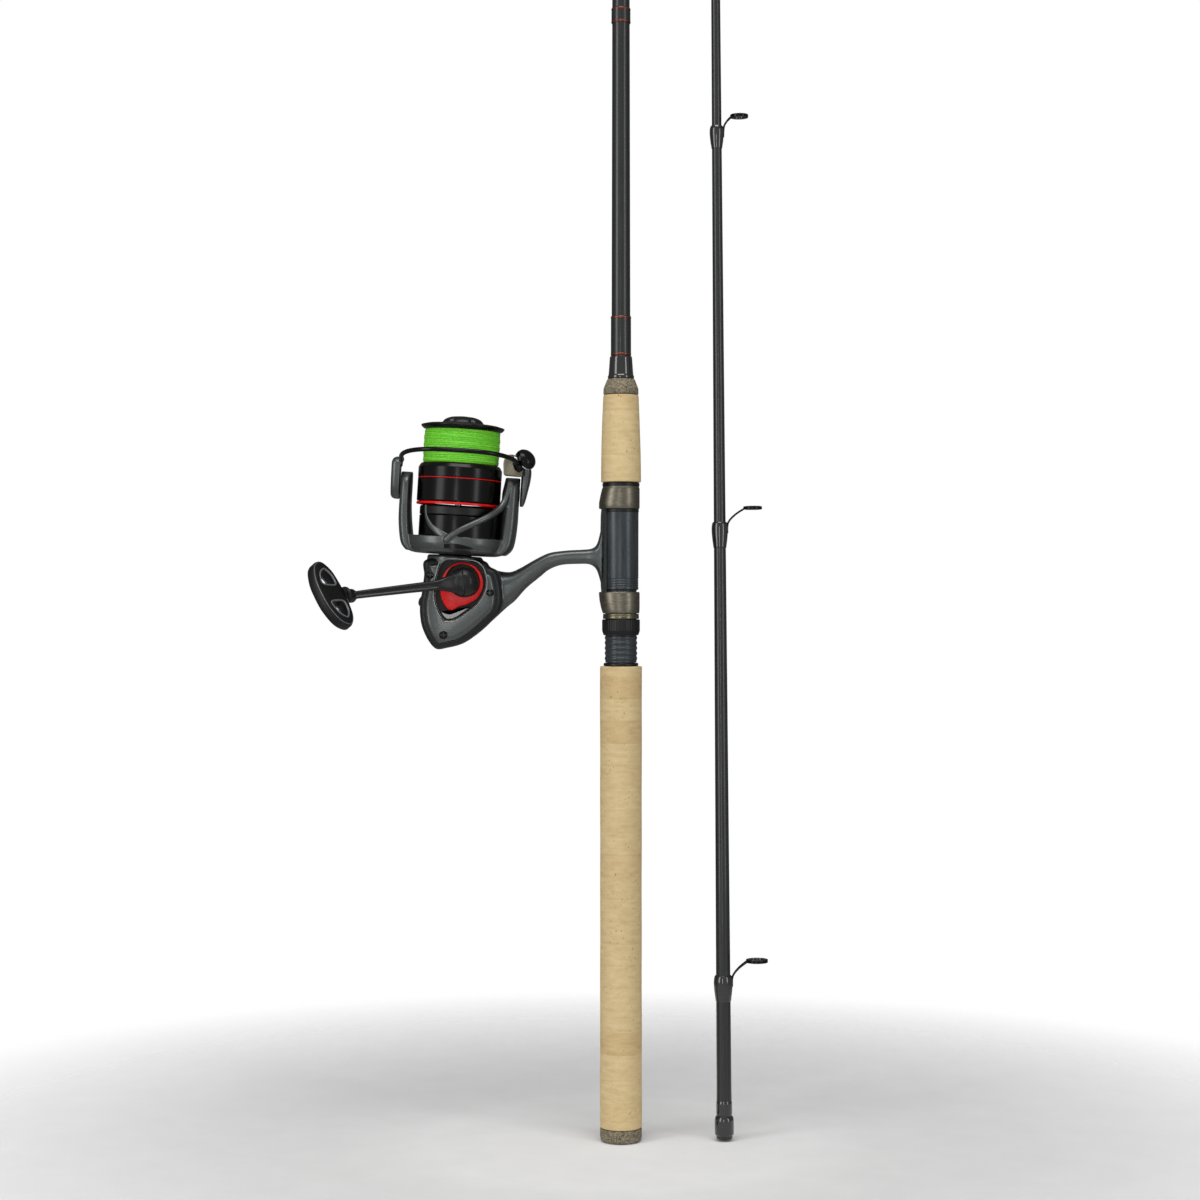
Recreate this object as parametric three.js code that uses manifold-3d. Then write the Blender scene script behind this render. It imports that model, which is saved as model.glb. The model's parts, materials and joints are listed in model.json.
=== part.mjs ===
// Two-piece 9 ft spinning rod with a 4000-size spinning reel in its seat, in millimetres.
// The butt section stands upright on its flat cap, the tip section stands beside it.
// +Z runs along the butt section towards the tip, the reel hangs on its -X side and the
// crank is on the -Y side.
import * as THREE from "three";
import { mergeVertices } from "three/addons/utils/BufferGeometryUtils.js";
import Module from "manifold-3d";

const wasm = await Module();
wasm.setup();

// ---------- driving dimensions ----------
const GAP = 0.3;
const ROD_LENGTH = 2743;
const FERRULE_OVERLAP = 55;
const BUTT_LENGTH = 1408;
const TIP_LENGTH = ROD_LENGTH - BUTT_LENGTH + FERRULE_OVERLAP;

const CAP_HEIGHT = 8;
const GRIP_RADIUS = 13;
const REAR_GRIP_TOP = 294;
const SEAT_BOTTOM = 296.3;
const SEAT_TOP = 405;
const SEAT_CORE_RADIUS = 9.7;
const SEAT_RADIUS = 10.9;
const THREAD_PITCH = 3.2;
const THREAD_CREST = 10.15;
const THREAD_TURNS = 8;
const NUT_BOTTOM = 313.2;
const NUT_TOP = 323;
const NUT_RADIUS = 11.7;
const NUT_BORE = 10.5;
const HOOD_MOUTH = 340;
const HOOD_RADIUS = 11.6;
const FIXED_HOOD_BOTTOM = 391.5;
const FOREGRIP_BOTTOM = 408;
const FOREGRIP_TOP = 462;
const WINDING_CHECK_TOP = 486;
const SEAT_BORE = 6.6;

const BUTT_TAPER = { bottom: 6.2, top: 4.05, wall: 1.1 };
const TIP_TAPER = { bottom: 4.7, top: 0.95, wall: 0.9 };
const TIP_SECTION_X = 64.2;
const TIP_LEAN = THREE.MathUtils.degToRad(-0.44);

const REEL_ORIGIN = new THREE.Vector3(-103.9, 0, 345.3);
const REEL_TILT = THREE.MathUtils.degToRad(3.5);
const FOOT_INNER = 11.25;
const FOOT_OUTER = 12.7;
const FOOT_BOTTOM = 334;
const FOOT_TOP = 397;
const FOOT_HALF_ANGLE = THREE.MathUtils.degToRad(38);
const FOOT_TAPER = 1;
const HOOD_POCKET = FOOT_OUTER - 0.2;
const HOOD_BULGE = 2.6;

const HANDLE_X = 8;
const HANDLE_S = 1;
const GEAR_TEETH = 30;
const PINION_TEETH = 6;
const BAIL_HINGE_S = 57;
const BAIL_HALF_WIDTH = 36;
const BAIL_DEPTH = 46.5;
const BAIL_APEX_S = 79.9;
const WIRE_RADIUS = 1.2;
const SKIRT_RADIUS = 25.9;
const SKIRT_BORE = 24.9;
const KNOB_SPLAY = THREE.MathUtils.degToRad(36);
const PADDLE_TILT = THREE.MathUtils.degToRad(31.5);
const PADDLE_HALF_THICKNESS = 3.4;
const SKIRT_TOP = 71.6;

// ---------- shape helpers ----------
function closed(geometry) {
  const bare = geometry.clone();
  bare.deleteAttribute("normal");
  bare.deleteAttribute("uv");
  const merged = mergeVertices(bare, 1e-3);
  const ids = merged.index.array;
  const kept = [];
  for (let i = 0; i < ids.length; i += 3) {
    const [a, b, c] = [ids[i], ids[i + 1], ids[i + 2]];
    if (a !== b && b !== c && c !== a) kept.push(a, b, c);
  }
  merged.setIndex(kept);
  if (signedVolume(merged) < 0) {
    const flipped = [];
    for (let i = 0; i < kept.length; i += 3) flipped.push(kept[i], kept[i + 2], kept[i + 1]);
    merged.setIndex(flipped);
  }
  return merged;
}

function signedVolume(geometry) {
  const p = geometry.attributes.position;
  const ids = geometry.index.array;
  const [a, b, c] = [new THREE.Vector3(), new THREE.Vector3(), new THREE.Vector3()];
  let sum = 0;
  for (let i = 0; i < ids.length; i += 3) {
    a.fromBufferAttribute(p, ids[i]);
    b.fromBufferAttribute(p, ids[i + 1]);
    c.fromBufferAttribute(p, ids[i + 2]);
    sum += a.dot(b.cross(c)) / 6;
  }
  return sum;
}

function solid(geometry) {
  const shell = closed(geometry);
  const mesh = new wasm.Mesh({
    numProp: 3,
    vertProperties: new Float32Array(shell.attributes.position.array),
    triVerts: Uint32Array.from(shell.index.array),
  });
  return new wasm.Manifold(mesh);
}

function fromSolid(body) {
  const mesh = body.getMesh();
  const geometry = new THREE.BufferGeometry();
  geometry.setAttribute("position", new THREE.BufferAttribute(Float32Array.from(mesh.vertProperties), 3));
  geometry.setIndex(Array.from(mesh.triVerts));
  return geometry;
}

function join(...geometries) {
  return fromSolid(geometries.map(solid).reduce((sum, next) => sum.add(next)));
}

function cut(geometry, ...tools) {
  return fromSolid(tools.map(solid).reduce((rest, tool) => rest.subtract(tool), solid(geometry)));
}

function common(first, second) {
  return fromSolid(solid(first).intersect(solid(second)));
}

// Solid of revolution about +Z from [radius, height] pairs, outer wall listed upwards.
function turned(profile, segments = 22) {
  const points = profile.map(([r, z]) => new THREE.Vector2(r, z));
  return new THREE.LatheGeometry(points, segments).rotateX(Math.PI / 2);
}

function ring(inner, outer, z0, z1, segments = 22) {
  return turned([[inner, z0], [outer, z0], [outer, z1], [inner, z1], [inner, z0]], segments);
}

function disc(radius, z0, z1, segments = 22) {
  return turned([[0, z0], [radius, z0], [radius, z1], [0, z1]], segments);
}

// Part of a ring centred on the -X side of the rod, closed at both ends.
function saddle(inner, outer, z0, z1, halfAngle, taper = 0) {
  const shape = new THREE.Shape();
  const from = Math.PI - halfAngle;
  const to = Math.PI + halfAngle;
  shape.absarc(0, 0, outer, from, to, false);
  shape.absarc(0, 0, inner, to, from, true);
  const body = new THREE.ExtrudeGeometry(shape, { depth: z1 - z0, bevelEnabled: false, curveSegments: 8 });
  body.translate(0, 0, z0);
  if (taper === 0) return body;
  const lens = turned([[0, z0 - 1], [outer - taper, z0 - 1], [outer - taper, z0], [outer, z0 + 12],
    [outer, z1 - 12], [outer - taper, z1], [outer - taper, z1 + 1], [0, z1 + 1]], 26);
  return common(body, lens);
}

// Plate drawn in the XZ plane and given thickness between two Y levels.
function plate(outline, y0, y1, bevel = 0) {
  const shape = new THREE.Shape(outline.map(([x, z]) => new THREE.Vector2(x, z)));
  const depth = y1 - y0 - 2 * bevel;
  const options = { depth, bevelEnabled: bevel > 0, bevelThickness: bevel, bevelSize: bevel,
    bevelOffset: -bevel, bevelSegments: 1, curveSegments: 8 };
  return new THREE.ExtrudeGeometry(shape, options).rotateX(Math.PI / 2).translate(0, y1 - bevel, 0);
}

// Plate drawn in the YZ plane and given thickness between two X levels.
function sidePlate(outline, x0, x1, bevel = 0) {
  return plate(outline, -x1, -x0, bevel).rotateZ(Math.PI / 2);
}

// Rounded closed outline through a few corner points.
function smooth(points, count) {
  const loop = new THREE.CatmullRomCurve3(points.map(([x, y]) => new THREE.Vector3(x, y, 0)), true);
  return loop.getPoints(count).slice(0, -1).map((p) => [p.x, p.y]);
}

// Bar of round or flattened section along a space curve.
function sweep(points, halfWidth, halfHeight, steps, sides = 8) {
  const section = new THREE.Shape();
  for (let i = 0; i < sides; i += 1) {
    const angle = (i * Math.PI * 2) / sides;
    const [u, v] = [halfWidth * Math.cos(angle), halfHeight * Math.sin(angle)];
    if (i === 0) section.moveTo(u, v);
    else section.lineTo(u, v);
  }
  const path = new THREE.CatmullRomCurve3(points.map((p) => new THREE.Vector3(...p)));
  return new THREE.ExtrudeGeometry(section, { steps, bevelEnabled: false, extrudePath: path });
}

// Turns a shape built about +Z so that its axis lies along Y, bottom end towards +Y.
function alongY(geometry, x, y, z) {
  return geometry.rotateX(Math.PI / 2).translate(x, y, z);
}

// Turns a shape built about +Z so that its axis lies along +X.
function alongX(geometry, y, z) {
  return alongY(geometry, 0, 0, 0).rotateZ(Math.PI / 2).translate(0, y, z);
}

function toothedDisc(rootRadius, tipRadius, teeth, depth) {
  const shape = new THREE.Shape();
  const pitch = (Math.PI * 2) / teeth;
  for (let i = 0; i < teeth; i += 1) {
    const corners = [[rootRadius, 0], [rootRadius, 0.45], [tipRadius, 0.6], [tipRadius, 0.85]];
    for (const [radius, share] of corners) {
      const angle = (i + share) * pitch;
      const [u, v] = [radius * Math.cos(angle), radius * Math.sin(angle)];
      if (i === 0 && share === 0) shape.moveTo(u, v);
      else shape.lineTo(u, v);
    }
  }
  return new THREE.ExtrudeGeometry(shape, { depth, bevelEnabled: false });
}

// ---------- assembly ----------
const model = new THREE.Group();
model.name = "spinning_rod";
const colours = {
  cork: 0xe1c896, composite: 0x968c6e, black: 0x15161a, gloss: 0x0b0c0e, gunmetal: 0x73706a,
  seat: 0x464b4e, carbon: 0x373938, copper: 0xb5562a, reel: 0x555a5a, line: 0x78d732,
  red: 0xd01818, steel: 0xb9bcc0, brass: 0xb89a55, ceramic: 0x2a2c30, rubber: 0x1c1c1d,
};

function add(name, geometry, colour, roughness = 0.5, metalness = 0.2) {
  const material = new THREE.MeshStandardMaterial({ color: colours[colour], roughness, metalness });
  material.name = `${name}_finish`;
  const mesh = new THREE.Mesh(closed(geometry), material);
  mesh.name = name;
  model.add(mesh);
  return mesh;
}

// ---------- butt section: handle ----------
const TAPER_START = 300;
function buttRadius(z) {
  const share = Math.max(0, z - TAPER_START) / (BUTT_LENGTH - TAPER_START);
  return BUTT_TAPER.bottom + (BUTT_TAPER.top - BUTT_TAPER.bottom) * share;
}

const blankBottom = CAP_HEIGHT + GAP;
const plugRadius = BUTT_TAPER.bottom - BUTT_TAPER.wall - GAP;

add("butt_cap", turned([[0, 0], [11.4, 0], [12.5, 0.9], [12.9, 2.2], [12.9, CAP_HEIGHT],
  [plugRadius, CAP_HEIGHT], [plugRadius, 20], [0, 20]], 22), "composite", 0.85, 0);

const gripBore = BUTT_TAPER.bottom + GAP;
add("rear_grip", turned([[gripBore, blankBottom], [GRIP_RADIUS, blankBottom], [GRIP_RADIUS, 20],
  [12.9, 90], [13.1, 200], [GRIP_RADIUS, REAR_GRIP_TOP], [gripBore, REAR_GRIP_TOP],
  [gripBore, blankBottom]], 22), "cork", 0.85, 0);
add("rear_grip_ring", turned([[gripBore, REAR_GRIP_TOP + GAP], [10.9, REAR_GRIP_TOP + GAP],
  [10.6, SEAT_BOTTOM - GAP],
  [gripBore, SEAT_BOTTOM - GAP], [gripBore, REAR_GRIP_TOP + GAP]], 22), "black");

// ---------- butt section: reel seat ----------
const seatProfile = [[SEAT_BORE, SEAT_BOTTOM], [SEAT_CORE_RADIUS, SEAT_BOTTOM]];
for (let i = 0; i < THREAD_TURNS; i += 1) {
  const z = SEAT_BOTTOM + 1 + i * THREAD_PITCH;
  seatProfile.push([SEAT_CORE_RADIUS, z], [THREAD_CREST, z + THREAD_PITCH / 2]);
}
seatProfile.push([SEAT_CORE_RADIUS, HOOD_MOUTH + 1], [SEAT_RADIUS, HOOD_MOUTH + 2],
  [SEAT_RADIUS, FIXED_HOOD_BOTTOM - 1],
  [SEAT_CORE_RADIUS, FIXED_HOOD_BOTTOM - 0.5], [SEAT_CORE_RADIUS, SEAT_TOP], [SEAT_BORE, SEAT_TOP],
    [SEAT_BORE, SEAT_BOTTOM]);
add("reel_seat_tube", turned(seatProfile, 24), "seat", 0.4, 0.2);

const nutProfile = [[NUT_BORE, NUT_BOTTOM], [11, NUT_BOTTOM], [NUT_RADIUS, NUT_BOTTOM + 1.4],
  [NUT_RADIUS, NUT_TOP - 0.6],
  [11.2, NUT_TOP], [NUT_BORE, NUT_TOP], [NUT_BORE, NUT_BOTTOM]];
const nutGrooves = [];
for (let i = 0; i < 12; i += 1) {
  const groove = disc(1.1, NUT_BOTTOM + 2, NUT_TOP - 1.5, 8).translate(12.2, 0, 0);
  nutGrooves.push(groove.rotateZ((i * Math.PI) / 6));
}
add("lock_nut", cut(turned(nutProfile, 22), ...nutGrooves), "black", 0.5, 0.2);
add("hood_neck_ring", ring(NUT_BORE, 11.2, NUT_TOP + GAP, NUT_TOP + 3.4, 22), "brass", 0.4, 0.8);

const hoodBottom = NUT_TOP + 3.7;
const slidingHood = cut(
  join(
    turned([[0, hoodBottom], [11.2, hoodBottom], [HOOD_RADIUS, hoodBottom + 1], [HOOD_RADIUS, HOOD_MOUTH],
      [0, HOOD_MOUTH]], 22),
    turned([[0, hoodBottom + 1], [9, hoodBottom + 1], [11.2, HOOD_MOUTH - 4], [11.2, HOOD_MOUTH],
      [0, HOOD_MOUTH]], 22)
      .translate(-HOOD_BULGE, 0, 0),
  ),
  disc(NUT_BORE, hoodBottom - 1, HOOD_MOUTH + 1, 22),
  saddle(8, HOOD_POCKET, FOOT_BOTTOM - 0.6, HOOD_MOUTH + 1, FOOT_HALF_ANGLE + 0.05),
);
add("sliding_hood", slidingHood, "gunmetal", 0.35, 0.9);

const fixedHood = cut(
  join(
    turned([[0, FIXED_HOOD_BOTTOM], [HOOD_RADIUS, FIXED_HOOD_BOTTOM], [HOOD_RADIUS, SEAT_TOP],
      [11.2, SEAT_TOP + 0.2],
      [11.2, FOREGRIP_BOTTOM - GAP], [0, FOREGRIP_BOTTOM - GAP]], 22),
    turned([[0, FIXED_HOOD_BOTTOM], [11.2, FIXED_HOOD_BOTTOM], [11.2, FIXED_HOOD_BOTTOM + 4.5],
      [9.2, SEAT_TOP - 1], [0, SEAT_TOP - 1]], 22)
      .translate(-HOOD_BULGE, 0, 0),
  ),
  disc(SEAT_CORE_RADIUS + GAP, FIXED_HOOD_BOTTOM - 1, SEAT_TOP + GAP, 22),
  disc(gripBore, SEAT_TOP, FOREGRIP_BOTTOM + 1, 22),
  saddle(8, HOOD_POCKET, FIXED_HOOD_BOTTOM - 1, FOOT_TOP + 0.6, FOOT_HALF_ANGLE + 0.05),
);
add("fixed_hood", fixedHood, "gunmetal", 0.35, 0.9);

add("foregrip", turned([[gripBore, FOREGRIP_BOTTOM], [12.4, FOREGRIP_BOTTOM], [12.4, 414], [12.2, 425],
  [11.7, 440], [10.9, FOREGRIP_TOP],
  [gripBore, FOREGRIP_TOP], [gripBore, FOREGRIP_BOTTOM]], 22), "cork", 0.85, 0);
add("foregrip_ring", turned([[gripBore, FOREGRIP_TOP + GAP], [10.9, FOREGRIP_TOP + GAP], [10.9, 466],
  [8.5, 472], [gripBore, 472],
  [gripBore, FOREGRIP_TOP + GAP]], 22), "composite", 0.85, 0);
add("winding_check", turned([[gripBore, 472 + GAP], [8.2, 472 + GAP], [7.4, 478], [6.9, WINDING_CHECK_TOP],
  [gripBore, WINDING_CHECK_TOP],
  [gripBore, 472 + GAP]], 22), "gloss", 0.2, 0);

// ---------- butt section: blank and trim ----------
const wrapTop = BUTT_LENGTH - FERRULE_OVERLAP - 2;
const wrapBottom = wrapTop - 16;
const spigotRadius = 3.55;
const buttInner = BUTT_TAPER.bottom - BUTT_TAPER.wall;
add("butt_blank", turned([[buttInner, blankBottom], [BUTT_TAPER.bottom, blankBottom],
  [BUTT_TAPER.bottom, 300],
  [buttRadius(wrapBottom), wrapBottom], [buttRadius(wrapBottom) + 0.7, wrapBottom + 1.5],
    [buttRadius(wrapTop) + 0.7, wrapTop - 1],
  [buttRadius(wrapTop), wrapTop], [spigotRadius, wrapTop + 2], [spigotRadius - 0.25, BUTT_LENGTH],
    [2.4, BUTT_LENGTH], [2.9, 1340],
  [buttInner, 300], [buttInner, blankBottom]], 20), "carbon", 0.3, 0.3);

function blankBand(name, z0, z1, colour, build = 0.5) {
  const inner = buttRadius(z0) + GAP;
  add(name, turned([[inner, z0], [inner + build, z0], [buttRadius(z1) + GAP + build, z1], [inner, z1],
    [inner, z0]], 16), colour, 0.3, 0.5);
}
blankBand("label_band", WINDING_CHECK_TOP + GAP, 511, "copper");
blankBand("stripper_trim_band", 692.4, 702, "copper");

// ---------- line guides ----------
// A guide is built standing on a blank along +Z with its ring out on the +X side.
function guideShapes({ z, ringOuter, reach, blank, wrapLength }) {
  const band = ringOuter > 8 ? 1.3 : 0.8;
  const height = ringOuter > 8 ? 2.6 : 2;
  const wrapTop = z - reach * 0.42;
  const wrapBottom = wrapTop - wrapLength;
  const inner = blank + GAP;
  const wrap = turned([[inner, wrapBottom], [inner + 0.3, wrapBottom], [inner + 1, wrapBottom + 3],
    [inner + 1.1, wrapTop - 1.5],
    [inner + 0.5, wrapTop], [inner, wrapTop], [inner, wrapBottom]], 14);
  const rootZ = wrapTop - 4;
  const thick = ringOuter > 8 ? 1.3 : 0.9;
  const legStart = inner + 1.8;
  const legEnd = reach - ringOuter + band / 2;
  const leg = sweep([[inner + 1.2, 0, rootZ], [legStart, 0, wrapTop + 0.4],
    [legStart + (legEnd - legStart) * 0.45, 0, wrapTop + (z - wrapTop) * 0.5], [legEnd, 0, z]], thick,
      thick, 7, 6);
  const hoop = ring(ringOuter - band, ringOuter, z - height / 2, z + height / 2, 16).translate(reach, 0, 0);
  const clear = disc(ringOuter - band, z - height, z + height, 16).translate(reach, 0, 0);
  const bore = disc(inner, wrapBottom - 1, wrapTop + 4, 14);
  const frame = cut(join(wrap, leg, hoop), clear, bore);
  const insertOuter = ringOuter - band - GAP;
  const insertWall = ringOuter > 8 ? 2 : 1;
  const insert = turned([[insertOuter - insertWall, z],
    [insertOuter - insertWall * 0.6, z - height * 0.55], [insertOuter, z - height * 0.4],
    [insertOuter, z + height * 0.4], [insertOuter - insertWall * 0.6, z + height * 0.55],
      [insertOuter - insertWall, z]], 16)
    .translate(reach, 0, 0);
  return { frame, insert };
}

function addGuide(name, spec, move) {
  const { frame, insert } = guideShapes(spec);
  if (spec.onePiece) {
    add(name, move(frame), "gloss", 0.25, 0.4);
    return;
  }
  add(`${name}_frame`, move(frame), "gloss", 0.25, 0.4);
  add(`${name}_ring`, move(insert), "ceramic", 0.15, 0.1);
}

const faceReel = (geometry) => geometry.rotateZ(Math.PI);
const buttGuides = [
  { z: 765, ringOuter: 15, reach: 31, wrapLength: 32 },
  { z: 1125, ringOuter: 10, reach: 25, wrapLength: 24 },
];
buttGuides.forEach((spec, i) => {
  addGuide(`butt_guide_${i + 1}`, { ...spec, blank: buttRadius(spec.z - spec.reach) }, faceReel);
});

// ---------- tip section ----------
const tipRadius = (z) => TIP_TAPER.bottom + (TIP_TAPER.top - TIP_TAPER.bottom) * (z / TIP_LENGTH);
const tipBase = 1;
const placeTip = (geometry) => geometry.rotateY(TIP_LEAN).translate(TIP_SECTION_X, 0, tipBase);
const socketDepth = FERRULE_OVERLAP + 5;
const SOCKET_RADIUS = 3.7;
add("tip_blank", placeTip(turned([[SOCKET_RADIUS, 0], [4.9, 0], [5, 1.2], [tipRadius(30), 30],
  [tipRadius(700), 700], [TIP_TAPER.top, TIP_LENGTH],
  [0, TIP_LENGTH], [0, 900], [tipRadius(700) - 0.9, 700], [SOCKET_RADIUS - 0.25, socketDepth],
    [SOCKET_RADIUS, 0]], 24)), "carbon", 0.3, 0.3);
add("ferrule_band", placeTip(turned([[5 + GAP, 2], [5.8 + GAP, 2.4], [5.7 + GAP, 13.5], [5 + GAP, 14],
  [5 + GAP, 2]], 16)), "gloss", 0.2, 0.1);

const tipGuides = [
  { z: 110, ringOuter: 6.8, reach: 21, wrapLength: 16 },
  { z: 391, ringOuter: 5.8, reach: 20.5, wrapLength: 16 },
  { z: 634, ringOuter: 5.6, reach: 14, wrapLength: 14 },
  { z: 872, ringOuter: 5.2, reach: 12, wrapLength: 12 },
  { z: 1062, ringOuter: 4.9, reach: 10.5, wrapLength: 11 },
  { z: 1222, ringOuter: 4.6, reach: 9, wrapLength: 10, onePiece: true },
];
tipGuides.forEach((spec, i) => {
  addGuide(`tip_guide_${i + 1}`, { ...spec, blank: tipRadius(spec.z - spec.reach) }, placeTip);
});

const tipTopZ = TIP_LENGTH + 6;
const tipTop = cut(
  join(
    turned([[0, TIP_LENGTH - 14], [1.9, TIP_LENGTH - 14], [1.9, TIP_LENGTH + 1.5], [0, TIP_LENGTH + 1.5]],
      16),
    sweep([[0, 0, TIP_LENGTH], [0.5, 0, TIP_LENGTH + 2], [2.2, 0, tipTopZ - 2]], 0.9, 0.9, 4, 6),
    ring(2.3, 4.2, -1, 1, 20).rotateY(-0.6).translate(4.8, 0, tipTopZ),
  ),
  disc(2.3, -6, 6, 20).rotateY(-0.6).translate(4.8, 0, tipTopZ),
  disc(1.1 + GAP, TIP_LENGTH - 15, TIP_LENGTH + 0.3, 16),
);
add("tip_top", placeTip(tipTop), "gloss", 0.25, 0.4);

// ---------- reel: shapes are drawn in the reel frame (x, s) and carried to the rod ----------
const reelMatrix = new THREE.Matrix4().makeRotationY(REEL_TILT).setPosition(REEL_ORIGIN);
const reelInverse = reelMatrix.clone().invert();
const placeReel = (geometry) => geometry.applyMatrix4(reelMatrix);

function addReel(name, geometry, colour, roughness, metalness) {
  return add(name, placeReel(geometry), colour, roughness, metalness);
}

const gearboxOutline = smooth([[-17.4, 14], [-17.7, 4], [-18.5, -7], [-19.4, -13], [-18.6, -21],
  [-16.5, -29], [-11.5, -37.5],
  [-6.5, -41.4], [-1, -40.2], [8, -37], [17.5, -30], [25.5, -21.8], [31, -14.5], [31.5, -4], [27.3, 9.2],
    [21.9, 11.8], [18, 14.6], [0, 15]], 26);
const cavityOutline = smooth([[-14.6, 11], [-15, 3], [-15.6, -8], [-16, -14], [-15.4, -22], [-13.2, -29],
  [-9, -35.5],
  [-3, -37], [8, -34], [16, -27.6], [22.5, -20.5], [26.5, -12], [26.6, -3], [23, 6.5], [16, 11],
    [0, 11.6]], 26);
const stemOutline = [[22, 10.8], [27.3, 9.2], [35.1, 9.3], [41, 12.2], [47.7, 16.6], [53.6, 20.2],
  [59.5, 22.9], [69.9, 24.8],
  [82, 26.1], [86.3, 27.7], [88.2, 31.2], [89.3, 38.3], [92.4, 38.3], [93.6, 5], [91, 6.2], [88.9, 13],
    [85.2, 16.7], [79.1, 16.9],
  [66.1, 15.5], [58.5, 12], [53.5, 7.4], [45.3, -0.2], [38.8, -8.4], [30, -16], [24, -14]];

const BODY_FRONT = -8.7;
const BODY_BACK = 20;
const neckTop = 17.2;
const foot = saddle(FOOT_INNER, FOOT_OUTER, FOOT_BOTTOM, FOOT_TOP, FOOT_HALF_ANGLE,
  FOOT_TAPER).applyMatrix4(reelInverse);
const tubeClearance = disc(FOOT_INNER, 320, 420, 48).applyMatrix4(reelInverse);
const stem = cut(plate(stemOutline, -6.2, 6.2), tubeClearance);
const bodyShell = cut(
  join(
    plate(gearboxOutline, BODY_FRONT, BODY_BACK, 3.2),
    plate(gearboxOutline, BODY_FRONT, 4, 0),
    turned([[0, 8], [17.2, 8], [17.2, 15.8], [15.8, neckTop], [9.6, neckTop], [9.6, 23.6], [0, 23.6]], 22),
  ),
  plate(cavityOutline, BODY_FRONT - 1, 15.5),
  disc(9, 12.6, 24.5, 26),
  disc(4.9, 4, 13, 24),
  alongY(disc(4.2, -24, -12, 24), HANDLE_X, 0, HANDLE_S),
  alongY(disc(12, -8.8, -4, 26), HANDLE_X, 0, HANDLE_S),
);
addReel("reel_body", join(bodyShell, cut(stem, plate(cavityOutline, -9, 9)), foot), "reel", 0.4, 0.7);

const coverBack = BODY_FRONT - GAP;
const COVER_FRONT = -19.5;
const recessOutline = smooth([[-6.6, 13.4], [-10, 4], [-10.8, -5], [-9.6, -13], [-4.6, -22.4], [-1, -23.6],
  [4.2, -22.5], [11, -17.5], [17.4, -11.3],
  [21.2, -2], [20.8, 6], [17, 12.6], [5, 14.4]], 22);
const coverShell = cut(
  join(plate(gearboxOutline, COVER_FRONT, coverBack, 3.2),
    plate(gearboxOutline, coverBack - 4, coverBack, 0)),
  plate(recessOutline, COVER_FRONT - 1, COVER_FRONT + 2.4),
  plate(cavityOutline, coverBack - 3.6, coverBack + 1),
  disc(17.6, 7.7, 24, 26),
  alongY(disc(4.4, 8, 24, 24), HANDLE_X, 0, HANDLE_S),
);
addReel("side_cover", coverShell, "reel", 0.4, 0.7);

const shieldOuter = smooth([[-6, -12], [-6, 2], [-3, 8.6], [5, 12.2], [13, 10.8], [18.6, 5], [19, -3],
  [14.6, -9], [6, -12.6], [0.8, -17.4]], 22);
const shieldInner = smooth([[-1.8, -6.5], [-2.6, 0], [0, 6], [6, 9.4], [12, 8.6], [16, 3.6], [16, -2.4],
  [11.6, -7], [5, -8.6]], 26);
addReel("hub_shield", cut(plate(shieldOuter, COVER_FRONT + 0.2, COVER_FRONT + 2.1, 0.5),
  plate(shieldInner, COVER_FRONT - 1, COVER_FRONT + 3)),
  "red", 0.2, 0.1);

function screw(x, s, y) {
  const head = turned([[0, 0], [2.6, 0], [2.6, 1.1], [1.8, 1.8], [0, 1.8]], 16);
  return cut(alongY(head, x, y, s), alongY(disc(1.2, 1, 3, 6), x, y, s));
}
addReel("cover_screw", screw(-3, -32, COVER_FRONT - GAP), "steel", 0.3, 0.9);

const leverPlate = plate(smooth([[-21.6, -15.4], [-22.6, -12.4], [-20.8, -9.4], [-16, -10], [-16, -15]],
  20), BODY_BACK + GAP, BODY_BACK + 2.6);
addReel("anti_reverse_lever", leverPlate, "black", 0.4, 0.1);
addReel("opposite_side_cap", alongY(turned([[0, -25], [5, -25], [7, -23.6], [7, -BODY_BACK - GAP],
  [0, -BODY_BACK - GAP]], 22), HANDLE_X, 0, HANDLE_S),
  "gloss", 0.2, 0.1);

// ---------- reel: gear train ----------
const pinionTube = [[2.3, 5.5], [3.4, 5.5], [3.4, 33.6], [2.3, 33.6], [2.3, 5.5]];
const pinionTeeth = toothedDisc(3.3, 4.4, PINION_TEETH, 6).translate(0, 0, 5.5);
addReel("pinion", cut(join(turned(pinionTube, 24), pinionTeeth), disc(2.3, 5, 34, 24)), "brass", 0.35, 0.9);
addReel("main_bearing", ring(3.7, 8.7, 13, 17, 22), "steel", 0.25, 0.9);
addReel("one_way_clutch", ring(3.7, 8.7, 17.4, 23.2, 22), "steel", 0.35, 0.8);

const gearFace = toothedDisc(10.2, 11.4, GEAR_TEETH, 3).rotateX(Math.PI / 2).translate(HANDLE_X, 8.2,
  HANDLE_S);
const gearShaft = alongY(disc(3.7, -14.6, 21.5, 24), HANDLE_X, 0, HANDLE_S);
const smallGear = toothedDisc(4.6, 5.6, 10, 2.6).rotateX(Math.PI / 2).translate(HANDLE_X, -5.6, HANDLE_S);
addReel("drive_gear", join(gearFace, gearShaft, smallGear), "brass", 0.35, 0.9);

const OSC_X = 4;
const OSC_S = -14.8;
const oscDisc = toothedDisc(9.4, 10.4, 20, 2.4).rotateX(Math.PI / 2).translate(OSC_X, -5.6, OSC_S);
const oscPin = alongY(disc(1.8, 4.5, 6, 12), OSC_X, 0, OSC_S + 8);
const oscHub = alongY(disc(2.4, 7, 11.6, 12), OSC_X, 0, OSC_S);
addReel("oscillation_gear", join(oscDisc, oscPin, oscHub), "brass", 0.35, 0.9);

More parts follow.
